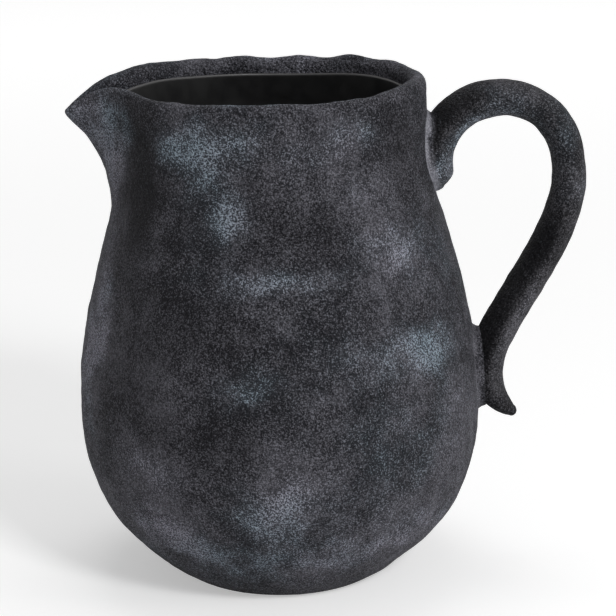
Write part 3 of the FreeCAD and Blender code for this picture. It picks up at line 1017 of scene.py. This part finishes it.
@dataclass
class StrapHandle:
    """The pulled strap: root on the neck, arch, run down to the belly and flicked tail.

    Bearings round the arch are in degrees, with the root at 180. A triple of a mark holds its strength,
    then the two ends of a fade, or the middle and spread of a bell for the arch's painted highlight. A pair
    holds the last two alone, but root_bloom is a strength and a spread, and the painted shade down the run
    two heights. The painted highlight lies along the arch's inner edge; the painted shade darkens the
    arch's top near the root and the run's inner side.
    """

    form: JugForm
    strap_thick: float = 0.018
    strap_width: float = 0.026
    arch_radius: float = 0.0337
    upper_joint_drop: float = 0.044
    root_standoff: float = 0.0008
    root_drop: float = 0.009
    lower_joint_rise: float = 0.01
    strap_standoff: float = 0.0044
    tail_reach: float = 0.0142
    tail_drop: float = 0.0218
    step: float = 0.0011
    turns: int = 84
    ridge: float = 1.78
    root_cap: float = 0.003
    tail_cap: float = 0.0025
    cap_rings: int = 7
    cap_turn_share: float = 0.97
    seat_depth: float = 0.0015
    slip: Triple = (0.8, 0.0055, 0.0006)
    drift_cloud: Cloud = Cloud(0.024, 90.0)
    drift_bloom: Triple = (0.4, 0.0, 0.6)
    drift_stain: Triple = (0.4, 0.1, -0.6)
    edge_highlight: float = 0.2
    # Painted highlight along the arch's inner edge, laid on as pale dust through the bloom mark.
    arch_highlight: Triple = (0.75, 120.0, 27.0)
    highlighted_inner_edge: Pair = (0.75, 0.35)
    front_fade: Pair = (-0.3, 0.5)
    bloomed_root: Triple = (0.0785, -0.012, 0.206)
    root_bloom: Pair = (0.6, 0.013)
    # Painted shade in the stain mark: dark sets its strength on the arch's top near the root, which faces
    # the neck, and on the run's inner side, which faces the belly.
    dark: float = 0.95
    painted_shade_top: Pair = (138.0, 36.0)
    painted_shade_top_fade: Pair = (0.25, -0.55)
    painted_shade_run: Pair = (0.085, 0.17)
    painted_shade_run_fade: float = 0.02
    painted_shade_side_fade: Pair = (-0.35, 0.45)
    wear: Triple = (0.3, -0.2, 0.5)
    wear_cloud: Cloud = Cloud(0.015, 95.0)
    wear_power: int = 6
    root_section_shares: Rows = ((1.0, 0.66, 0.88), (0.5, 1.08, 1.12))
    arch_section_shares: Rows = (
        (180.0, 1.12, 1.16), (135.0, 1.06, 1.06), (90.0, 0.98, 1.0), (45.0, 0.93, 0.97), (0.0, 0.91, 0.95),
    )
    run_section_shares: Rows = (
        (0.125, 0.01, 187.5, 0.94, 0.95), (0.316, 0.165, 202.8, 0.99, 0.96),
        (0.509, 0.43, 208.2, 1.01, 0.98), (0.702, 0.725, 208.5, 1.0, 1.0),
        (0.85, 0.925, 198.0, 1.0, 1.04), (1.0, 1.0, 180.0, 0.96, 1.08),
    )
    tail_section_shares: Rows = (
        (0.25, 0.04, 174.0, 0.93, 1.04), (0.47, 0.19, 158.0, 0.82, 0.94), (0.69, 0.43, 140.0, 0.66, 0.8),
        (0.86, 0.7, 128.0, 0.47, 0.62), (0.965, 0.91, 122.0, 0.3, 0.46),
    )

    def arch_centre(self) -> Pair:
        """How far out and how high the middle of the arch stands."""
        joint_up = self.form.rim_height - self.upper_joint_drop
        return self.form.reach(joint_up) + self.root_standoff + self.arch_radius, joint_up

    def sections(self) -> Array:
        """Places the sections down the strap.

        Returns:
            Across, height, bearing in degrees, thickness and width of each section.
        """
        centre, joint_up = self.arch_centre()
        root, outer = centre - self.arch_radius, centre + self.arch_radius
        lower_up = self.form.belly_height + self.lower_joint_rise
        inner = self.form.reach(lower_up) + self.strap_standoff
        rows = []
        for drop, *size in self.root_section_shares:
            rows.append((root, joint_up - self.root_drop * drop, 0.0, *size))
        for angle, *size in self.arch_section_shares:
            turn = math.radians(angle)
            across = centre + self.arch_radius * math.cos(turn)
            rows.append((across, joint_up + self.arch_radius * math.sin(turn), 180.0 - angle, *size))
        for drop, inward, *rest in self.run_section_shares:
            rows.append((outer + (inner - outer) * inward, joint_up + (lower_up - joint_up) * drop, *rest))
        for drop, outward, *rest in self.tail_section_shares:
            rows.append((inner + self.tail_reach * outward, lower_up - self.tail_drop * drop, *rest))
        return np.array(rows)

    def line(self) -> Array:
        """Fills in the sections one step apart and rounds off both ends.

        Returns:
            The filled-in sections, one in each row.
        """
        known = self.sections()
        length = lengths_along(known[:, :2])
        wanted = np.linspace(0.0, length[-1], int(round(length[-1] / self.step)) + 1)
        fine = curve_through(length, known, wanted)
        turn = np.linspace(0.0, math.pi / 2.0, self.cap_rings + 1)[1:] * self.cap_turn_share
        caps = []
        for end, reach in ((fine[0], -self.root_cap), (fine[-1], self.tail_cap)):
            bearing = math.radians(end[2])
            cap = np.repeat(end[None], self.cap_rings, axis=0)
            cap[:, 0] += reach * np.sin(turn) * math.sin(bearing)
            cap[:, 1] += reach * np.sin(turn) * math.cos(bearing)
            cap[:, 3:] *= np.cos(turn)[:, None]
            caps.append(cap)
        return np.concatenate([caps[0][::-1], fine, caps[1]])

    def dress(self, mesh: PieceMesh, body: Body) -> None:
        """Marks the slip at both joints, the bloom with a painted highlight along the arch's inner edge,
        painted shade on the arch's top near the root and on the run's inner side, and the worn edges.

        Args:
            mesh: The strap's mesh, whose last two points are hubs.
            body: The body that carries it.
        """
        points, turn = mesh.points, full_turn(self.turns)
        rows = len(points) // self.turns
        inner = np.pad(np.tile(np.cos(turn), rows), (0, 2))
        front = np.pad(np.tile(-np.sin(turn), rows), (0, 2))
        centre, joint_up = self.arch_centre()
        bearing = np.degrees(np.arctan2(points[:, 2] - joint_up, points[:, 0] - centre))
        drift = self.drift_cloud.at(points)
        mesh.mark(Mark.SLIP, self.slip[0] * body.slip_near_wall(points, self.slip[1:]))
        # Painted highlight along the inner edge of the arch, added to the bloom.
        strength, middle, spread = self.arch_highlight
        edge = bell(inner - self.highlighted_inner_edge[0], self.highlighted_inner_edge[1]) * smooth_rise(*self.front_fade, front)
        bloom = (strength * bell(bearing - middle, spread) + self.edge_highlight) * edge
        bloom += self.drift_bloom[0] * smooth_rise(*self.drift_bloom[1:], drift)
        strength, spread = self.root_bloom
        bloom += strength * bell(np.linalg.norm(points - self.bloomed_root, axis=1), spread)
        mesh.mark(Mark.BLOOM, bloom)
        # Painted shade on the arch's top near the root and on the run's inner side, added to the stain.
        middle, spread = self.painted_shade_top
        dark = bell(bearing - middle, spread) * smooth_rise(*self.painted_shade_top_fade, inner)
        (low, high), fade = self.painted_shade_run, self.painted_shade_run_fade
        run = smooth_rise(low, low + fade, points[:, 2]) * smooth_rise(high + fade, high, points[:, 2])
        dark += run * smooth_rise(*self.painted_shade_side_fade, inner)
        stain_and_shade = self.drift_stain[0] * smooth_rise(*self.drift_stain[1:], drift)
        mesh.mark(Mark.STAIN_AND_SHADE, stain_and_shade + self.dark * dark)
        worn = self.wear[0] * smooth_rise(*self.wear[1:], self.wear_cloud.at(points))
        mesh.mark(Mark.WEAR_AND_HIGHLIGHT, front**self.wear_power * worn)

    def build(self, body: Body, material: Material) -> Object:
        """The strap, seated in the wall at both joints.

        Args:
            body: The body that carries it.
            material: Its finish.

        Returns:
            The handle piece.
        """
        rows = self.line()
        turn = full_turn(self.turns)
        thin = np.sign(np.cos(turn)) * np.abs(np.cos(turn)) ** (2.0 / self.ridge)
        bearing = np.radians(rows[:, 2:3])
        half = self.strap_thick / 2.0 * rows[:, 3:4] * thin
        x = rows[:, :1] + half * np.cos(bearing)
        y = self.strap_width / 2.0 * rows[:, 4:5] * np.sin(turn)
        z = rows[:, 1:2] - half * np.sin(bearing)
        grid = body.seated(STRAP_RELIEF.press(np.stack([x, y, z], axis=-1)), self.seat_depth)
        mesh = PieceMesh.from_grid(grid, Ends.FANNED)
        self.dress(mesh, body)
        return mesh.build("handle_strap", "handle", Slot.STONEWARE, material, body.envelope)


class NodeBench:
    """Places and joins the nodes of one node tree."""

    def __init__(self, tree: NodeTree) -> None:
        """Empties the tree that the nodes go into and keeps it."""
        tree.nodes.clear()
        self.tree = tree

    @classmethod
    def for_material(cls, name: str) -> tuple[Material, "NodeBench"]:
        """Starts a material.

        Args:
            name: Name of the material.

        Returns:
            The empty material, and the bench for its nodes.
        """
        material = bpy.data.materials.new(name)
        material.use_nodes = True
        return material, cls(material.node_tree)

    @classmethod
    def for_effect(cls, name: str, numbers: Names, outputs: Names) -> tuple["NodeBench", object]:
        """A new empty shared effect.

        Args:
            name: Name of the effect.
            numbers: Names of its number inputs, which follow its place.
            outputs: Names of its outputs, all numbers.

        Returns:
            The bench for its nodes, and its inputs by name.
        """
        tree = bpy.data.node_groups.new(name, "ShaderNodeTree")
        tree.interface.new_socket(name="Place", in_out="INPUT", socket_type="NodeSocketVector")
        for in_out, names in (("INPUT", numbers), ("OUTPUT", outputs)):
            for key in names:
                tree.interface.new_socket(name=key, in_out=in_out, socket_type="NodeSocketFloat")
        bench = cls(tree)
        return bench, bench.add("NodeGroupInput")

    def add(self, kind: str, options: dict | None = None, inputs: dict | None = None) -> object:
        """Adds one node.

        Args:
            kind: Type name of the node.
            options: Its own settings by name.
            inputs: Values or sockets to join, by the input's name or number.

        Returns:
            The node's outputs.
        """
        node = self.tree.nodes.new(kind)
        for key, value in (options or {}).items():
            setattr(node, key, value)
        for key, value in (inputs or {}).items():
            if isinstance(value, NodeSocket):
                self.tree.links.new(value, node.inputs[key])
            else:
                node.inputs[key].default_value = value
        return node.outputs

    def math(self, operation: str, first: object, second: object, third: object = 0.0) -> NodeSocket:
        """Result of one sum on numbers or sockets."""
        return self.add("ShaderNodeMath", {"operation": operation}, {0: first, 1: second, 2: third})[0]

    def weighted(self, *terms: tuple[NodeSocket, float], start: float = 0.0) -> NodeSocket:
        """Adds up sockets.

        Args:
            terms: Each socket and its weight.
            start: Number that the sum starts from.

        Returns:
            The start plus each socket times its weight.
        """
        total = start
        for socket, weight in terms:
            total = self.math("MULTIPLY_ADD", socket, weight, total)
        return total

    def ramp(self, value: object, low: object, high: object, span: Pair = (0.0, 1.0)) -> NodeSocket:
        """Smooth rise over a span of numbers, as the value goes from low to high."""
        inputs = {"Value": value, "From Min": low, "From Max": high, "To Min": span[0], "To Max": span[1]}
        return self.add("ShaderNodeMapRange", {"interpolation_type": "SMOOTHSTEP"}, inputs)[0]

    def blend(self, factor: object, first: object, second: object) -> NodeSocket:
        """Colour between two colours, each a socket or three numbers."""
        ends = [end if isinstance(end, NodeSocket) else (*end, 1.0) for end in (first, second)]
        return self.add("ShaderNodeMix", {"data_type": "RGBA"}, {0: factor, 6: ends[0], 7: ends[1]})[2]

    def mark(self, mark: Mark) -> NodeSocket:
        """The number that a piece carries for one mark."""
        return self.add("ShaderNodeAttribute", {"attribute_name": mark.value})["Fac"]

    def place(self) -> NodeSocket:
        """Place of the shaded point in the piece's own frame."""
        return self.add("ShaderNodeTexCoord")["Object"]

    def seen_ray(self) -> NodeSocket:
        """Tells rays that show a surface from rays that only light.

        Returns:
            1 for a ray from the camera, a reflection or glass, and 0 for the others.
        """
        rays = self.add("ShaderNodeLightPath")
        mirrored = self.math("MAXIMUM", rays["Is Glossy Ray"], rays["Is Transmission Ray"])
        return self.math("MAXIMUM", rays["Is Camera Ray"], mirrored)

    def noise(self, place: NodeSocket, scale: object, detail: float, roughness: float) -> NodeSocket:
        """Cloudy numbers from 0 to 1."""
        inputs = {"Vector": place, "Scale": scale, "Detail": detail, "Roughness": roughness}
        return self.add("ShaderNodeTexNoise", None, inputs)[0]

    def bump(self, height: NodeSocket, depth: float, strength: float = 1.0) -> NodeSocket:
        """Normal of a fine relief."""
        inputs = {"Height": height, "Distance": depth, "Strength": strength}
        return self.add("ShaderNodeBump", None, inputs)[0]

    def effect(self, tree: NodeTree, inputs: dict) -> object:
        """Outputs of one shared effect, placed with its own values."""
        return self.add("ShaderNodeGroup", {"node_tree": tree}, inputs)

    def surface(self, inputs: dict) -> None:
        """Joins a surface with these values or sockets to the material's output."""
        shader = self.add("ShaderNodeBsdfPrincipled", None, inputs)[0]
        self.add("ShaderNodeOutputMaterial", None, {0: shader})


@dataclass(frozen=True)
class LeatheryGrain:
    """Effect: pebbled skin of dry stoneware, as its height and the fine tooth on top of it."""

    wrinkle_detail: Pair = (3.0, 0.6)
    tooth_detail: Pair = (2.0, 0.7)
    worn_detail: Pair = (2.0, 0.5)
    worn_scale: float = 0.11
    pebble_smoothness: float = 0.6
    height_shares: Triple = (1.0, -0.4, 0.28)
    least_tooth: float = 0.35
    worn_tooth: float = 1.3
    crease_middle: float = 0.4
    crease_share: float = 0.14
    tooth_span: Pair = (-0.17, 0.24)

    def build(self) -> NodeTree:
        """Builds the effect once.

        Returns:
            The effect.
        """
        inputs, outputs = ("Grain Width", "Tooth Width"), ("Height", "Tooth")
        bench, given = NodeBench.for_effect("leathery_grain", inputs, outputs)
        place = given["Place"]
        scale = bench.math("DIVIDE", 1.0, given["Grain Width"])
        tooth_scale = bench.math("DIVIDE", 1.0, given["Tooth Width"])
        wrinkle = bench.noise(place, scale, *self.wrinkle_detail)
        pebbles = {"Vector": place, "Scale": scale, "Smoothness": self.pebble_smoothness}
        crease = bench.add("ShaderNodeTexVoronoi", {"feature": "SMOOTH_F1"}, pebbles)["Distance"]
        fine = bench.noise(place, tooth_scale, *self.tooth_detail)
        worn = bench.noise(place, bench.math("MULTIPLY", scale, self.worn_scale), *self.worn_detail)
        strength = bench.weighted((worn, self.worn_tooth), start=self.least_tooth)
        tooth = bench.math("MULTIPLY", bench.math("SUBTRACT", fine, NOISE_MIDDLE), strength)
        lift = self.crease_share * self.crease_middle
        tooth = bench.weighted((tooth, 1.0), (crease, -self.crease_share), start=lift)
        height = bench.weighted(*zip((wrinkle, crease, fine), self.height_shares))
        bench.add("NodeGroupOutput", None, {"Height": height, "Tooth": bench.ramp(tooth, *self.tooth_span)})
        return bench.tree


@dataclass(frozen=True)
class SpeckledBloom:
    """Effect: pale dust in soft clouds, thick in a patch and caught on single grains round it."""

    speck_detail: Pair = (2.0, 0.65)
    cloud_detail: Pair = (3.0, 0.6)
    fray: Pair = (0.6, 1.7)
    thick_span: Pair = (-0.22, 1.15)
    speck_level: Pair = (0.64, -0.15)
    speck_span: Pair = (-0.05, 0.1)
    veil: float = 0.13
    speck_cover: Pair = (0.12, 0.8)

    def build(self) -> NodeTree:
        """Builds the effect once.

        Returns:
            The effect.
        """
        inputs = ("Speck Width", "Cloud Width", "Patch")
        bench, given = NodeBench.for_effect("speckled_bloom", inputs, ("Mask",))
        place, patch = given["Place"], given["Patch"]
        specks = bench.noise(place, bench.math("DIVIDE", 1.0, given["Speck Width"]), *self.speck_detail)
        clouds = bench.noise(place, bench.math("DIVIDE", 1.0, given["Cloud Width"]), *self.cloud_detail)
        fray = bench.weighted((patch, self.fray[1]), start=self.fray[0])
        frayed = bench.math("MULTIPLY_ADD", bench.math("SUBTRACT", clouds, NOISE_MIDDLE), fray, patch)
        thick = bench.ramp(frayed, *self.thick_span)
        level, drop = self.speck_level
        edges = [bench.weighted((thick, drop), start=level + side) for side in self.speck_span]
        caught = bench.ramp(specks, *edges)
        cover = bench.weighted((thick, self.speck_cover[1]), start=self.speck_cover[0])
        veil = bench.math("MULTIPLY", thick, self.veil)
        bench.add("NodeGroupOutput", None, {"Mask": bench.math("MULTIPLY_ADD", caught, cover, veil)})
        return bench.tree


@dataclass(frozen=True)
class SlowDrift:
    """Effect: slow change of tone over a surface, in two widths."""

    broad_detail: Pair = (2.0, 0.5)
    narrow_detail: Pair = (3.0, 0.5)
    narrow_scale: float = 5.0
    span: Pair = (0.3, 0.7)

    def build(self) -> NodeTree:
        """Builds the effect once.

        Returns:
            The effect.
        """
        bench, given = NodeBench.for_effect("slow_drift", ("Drift Width",), ("Broad", "Narrow"))
        scale = bench.math("DIVIDE", 1.0, given["Drift Width"])
        broad = bench.noise(given["Place"], scale, *self.broad_detail)
        narrow_scale = bench.math("MULTIPLY", scale, self.narrow_scale)
        narrow = bench.noise(given["Place"], narrow_scale, *self.narrow_detail)
        outputs = {"Broad": bench.ramp(broad, *self.span), "Narrow": bench.ramp(narrow, *self.span)}
        bench.add("NodeGroupOutput", None, outputs)
        return bench.tree


@dataclass(frozen=True)
class Effects:
    """The shared effects of the finishes, each built once."""

    grain: NodeTree = field(default_factory=lambda: LeatheryGrain().build())
    bloom: NodeTree = field(default_factory=lambda: SpeckledBloom().build())
    drift: NodeTree = field(default_factory=lambda: SlowDrift().build())


@dataclass(frozen=True)
class DryStoneware:
    """Dark fired clay with a leathery grain, pale bloom, stains, slip and worn edges, with painted shade
    and a painted highlight where a piece's marks carry them.
    """

    name: str
    dark: Triple = (0.0095, 0.0091, 0.0118)
    light: Triple = (0.167, 0.165, 0.19)
    pale: Triple = (0.345, 0.43, 0.505)
    lilac: Triple = (0.43, 0.428, 0.505)
    slip: Triple = (0.46, 0.46, 0.52)
    stain_and_shade: Triple = (0.005, 0.0048, 0.006)
    grain_width: float = 0.0018
    tooth_width: float = 0.0008
    grain_depth: float = 0.0036
    speck_width: float = 0.0008
    cloud_width: float = 0.011
    drift_width: float = 0.05
    tone_shares: Triple = (0.26, 0.2, 0.7)
    tone_span: Pair = (0.17, 1.0)
    wear_bloom: float = 0.5
    stain_and_shade_clears: float = 0.9
    stain_and_shade_cover: float = 0.88
    slip_specks: Pair = (0.0, 0.45)
    slip_coat: Pair = (0.15, 0.95)
    slip_cover: float = 0.7
    roughness: Pair = (0.74, 0.95)
    specular: float = 0.12

    def build(self, effects: Effects) -> Material:
        """Makes the finish.

        Args:
            effects: The shared effects.

        Returns:
            The material.
        """
        material, bench = NodeBench.for_material(self.name)
        place = bench.place()
        widths = {"Grain Width": self.grain_width, "Tooth Width": self.tooth_width}
        grain = bench.effect(effects.grain, {"Place": place, **widths})
        drift = bench.effect(effects.drift, {"Place": place, "Drift Width": self.drift_width})
        dusting = {"Place": place, "Speck Width": self.speck_width, "Cloud Width": self.cloud_width}
        bloom, stain_and_shade_mask, slipped, worn = (bench.mark(mark) for mark in Mark)
        patch = bench.weighted((bloom, 1.0), (worn, self.wear_bloom), (stain_and_shade_mask, -self.stain_and_shade_clears))
        dust = bench.effect(effects.bloom, {**dusting, "Patch": patch})["Mask"]
        tones = (drift["Broad"], drift["Narrow"], grain["Tooth"])
        tone = bench.ramp(bench.weighted(*zip(tones, self.tone_shares)), *self.tone_span)
        clay = bench.blend(tone, self.dark, self.light)
        # Stains and painted shade darken the clay towards the stain colour.
        clay = bench.blend(bench.math("MULTIPLY", stain_and_shade_mask, self.stain_and_shade_cover), clay, self.stain_and_shade)
        powder = bench.blend(drift["Broad"], self.pale, self.lilac)
        dusted = bench.blend(dust, clay, powder)
        specks = bench.effect(effects.bloom, {**dusting, "Patch": slipped})["Mask"]
        specks = bench.math("MULTIPLY", specks, bench.ramp(slipped, *self.slip_specks))
        coat = bench.math("MULTIPLY", bench.ramp(slipped, *self.slip_coat), self.slip_cover)
        coloured = bench.blend(bench.math("MAXIMUM", specks, coat), dusted, self.slip)
        bench.surface({
            "Base Color": coloured,
            "Roughness": bench.ramp(dust, 0.0, 1.0, self.roughness),
            "Normal": bench.bump(grain["Height"], self.grain_depth),
            "Specular IOR Level": self.specular,
        })
        return material


@dataclass(frozen=True)
class SatinGlaze:
    """Smooth black glaze with a low sheen, a slight unevenness and a painted highlight along its top edge.
    """

    name: str = "satin_black_glaze"
    dark: Triple = (0.0038, 0.0038, 0.0042)
    light: Triple = (0.0105, 0.0105, 0.0105)
    # edge is the colour of the painted highlight along the glaze's top edge.
    edge: Triple = (0.085, 0.083, 0.085)
    drift_width: float = 0.03
    roughness: Pair = (0.4, 0.48)
    ripple_depth: float = 0.00008
    ripple_strength: float = 0.4
    specular: float = 0.44

    def build(self, effects: Effects) -> Material:
        """Makes the finish.

        Args:
            effects: The shared effects.

        Returns:
            The material.
        """
        material, bench = NodeBench.for_material(self.name)
        drift = bench.effect(effects.drift, {"Place": bench.place(), "Drift Width": self.drift_width})
        colour = bench.blend(drift["Broad"], self.dark, self.light)
        smooth, rough = self.roughness
        bench.surface({
            # The wear mark paints a highlight along the glaze's top edge.
            "Base Color": bench.blend(bench.mark(Mark.WEAR_AND_HIGHLIGHT), colour, self.edge),
            "Roughness": bench.weighted((drift["Narrow"], rough - smooth), start=smooth),
            "Normal": bench.bump(drift["Narrow"], self.ripple_depth, self.ripple_strength),
            "Specular IOR Level": self.specular,
        })
        return material


FINISHES = (
    DryStoneware("dry_dark_stoneware"),
    # Darker copy of the stoneware that paints shade over the whole strap, which the lamps light more than
    # the wall.
    DryStoneware("shaded_strap_stoneware", dark=(0.0065, 0.0063, 0.0079), light=(0.146, 0.143, 0.158)),
    DryStoneware("brushed_pale_slip"),
    SatinGlaze(),
)


@dataclass(frozen=True)
class SoftBox:
    """One flat studio lamp: where it stands, what it points at, its side and its power."""

    name: str
    place: Triple
    target: Triple
    side: float
    power: float

    def build(self) -> Object:
        """Makes the lamp.

        Returns:
            The lamp, turned towards its target.
        """
        data = bpy.data.lights.new(self.name, "AREA")
        data.shape = "SQUARE"
        data.size = self.side
        data.energy = self.power
        lamp = shown(self.name, data)
        lamp.location = self.place
        lamp.rotation_euler = (Vector(self.target) - Vector(self.place)).to_track_quat("-Z", "Y").to_euler()
        return lamp


@dataclass(frozen=True)
class Studio:
    """Pale floor, soft light and the camera of the photograph."""

    floor_side: float = 12.0
    floor_colour: Triple = (0.86, 0.86, 0.86)
    floor_roughness: float = 0.9
    floor_specular: float = 0.1
    floor_lift: float = 0.4
    far_floor_lift: float = 0.26
    far_floor: Pair = (0.25, 1.9)
    world_light: float = 0.27
    world_seen: float = 1.0
    camera_place: Triple = (0.014222, -1.2, 0.460126)
    camera_target: Triple = (0.014222, 0.0, 0.133834)
    camera_roll: float = -0.01222
    camera_reach: float = 50.0
    lens: float = 144.97
    sensor: float = 36.0
    lamps: tuple[SoftBox, ...] = (
        SoftBox("key_softbox", (0.9, -1.5, 1.3), (0.0, 0.0, 0.13), 0.45, 19.0),
        SoftBox("right_softbox", (1.7, -0.5, 0.6), (0.05, 0.0, 0.13), 0.6, 6.0),
        SoftBox("top_softbox", (0.0, 0.3, 1.8), (0.0, 0.0, 0.1), 0.9, 6.0),
    )

    def floor_finish(self) -> Material:
        """Makes a plain pale finish, lifted towards white for the eye alone.

        Returns:
            The material.
        """
        material, bench = NodeBench.for_material("pale_floor")
        away = bench.add("ShaderNodeVectorMath", {"operation": "LENGTH"}, {0: bench.place()})["Value"]
        far = bench.ramp(away, *self.far_floor)
        lift = bench.weighted((far, self.far_floor_lift), start=self.floor_lift)
        bench.surface({
            "Base Color": (*self.floor_colour, 1.0), "Roughness": self.floor_roughness,
            "Specular IOR Level": self.floor_specular, "Emission Color": WHITE,
            "Emission Strength": bench.math("MULTIPLY", bench.seen_ray(), lift),
        })
        return material

    def build_floor(self) -> Object:
        """Makes the floor that the jug stands on.

        Returns:
            The floor, marked as part of the stage.
        """
        half = self.floor_side / 2.0
        mesh = bpy.data.meshes.new("studio_floor")
        corners = [(-half, -half, 0.0), (half, -half, 0.0), (half, half, 0.0), (-half, half, 0.0)]
        mesh.from_pydata(corners, [], [[0, 1, 2, 3]])
        mesh.materials.append(self.floor_finish())
        floor = shown("studio_floor", mesh)
        floor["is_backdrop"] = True
        return floor

    def build_world(self) -> None:
        """Even light from all round, seen as white by the camera and in reflections."""
        world = bpy.data.worlds.new("light_tent")
        world.use_nodes = True
        bench = NodeBench(world.node_tree)
        extra = self.world_seen - self.world_light
        strength = bench.weighted((bench.seen_ray(), extra), start=self.world_light)
        sky = bench.add("ShaderNodeBackground", None, {"Color": WHITE, "Strength": strength})[0]
        bench.add("ShaderNodeOutputWorld", None, {0: sky})
        bpy.context.scene.world = world

    def build_camera(self) -> Object:
        """Sets up the camera at the photograph's place, with its slight roll.

        Returns:
            The camera.
        """
        data = bpy.data.cameras.new("photo_camera")
        data.lens = self.lens
        data.sensor_width = self.sensor
        data.clip_end = self.camera_reach
        camera = shown("photo_camera", data)
        aim = (Vector(self.camera_target) - Vector(self.camera_place)).to_track_quat("-Z", "Y").to_matrix()
        turned = aim @ Matrix.Rotation(self.camera_roll, 3, "Z")
        camera.matrix_world = Matrix.Translation(self.camera_place) @ turned.to_4x4()
        bpy.context.scene.camera = camera
        return camera

    def build(self) -> None:
        """Sets up the whole studio."""
        self.build_floor()
        self.build_world()
        for lamp in self.lamps:
            lamp.build()
        self.build_camera()
        bpy.context.scene.view_settings.view_transform = "Standard"


def main() -> None:
    """Builds the jug, its finishes and the studio."""
    logging.basicConfig(level=logging.INFO, format="%(name)s: %(message)s")
    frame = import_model()
    LOG.info("frame: %s", frame)
    solid_box = [list(corner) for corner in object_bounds()]
    effects = Effects()
    stoneware, shaded_strap_clay, slip, glaze = (finish.build(effects) for finish in FINISHES)
    form = JugForm()
    body = Body(form, solid_box)
    body.build_wall(stoneware)
    body.build_slab(stoneware)
    body.build_liner(glaze)
    StrapHandle(form).build(body, shaded_strap_clay)
    for luting in LUTINGS:
        luting.build(body, slip)
    Studio().build()


if __name__ == "__main__":
    main()
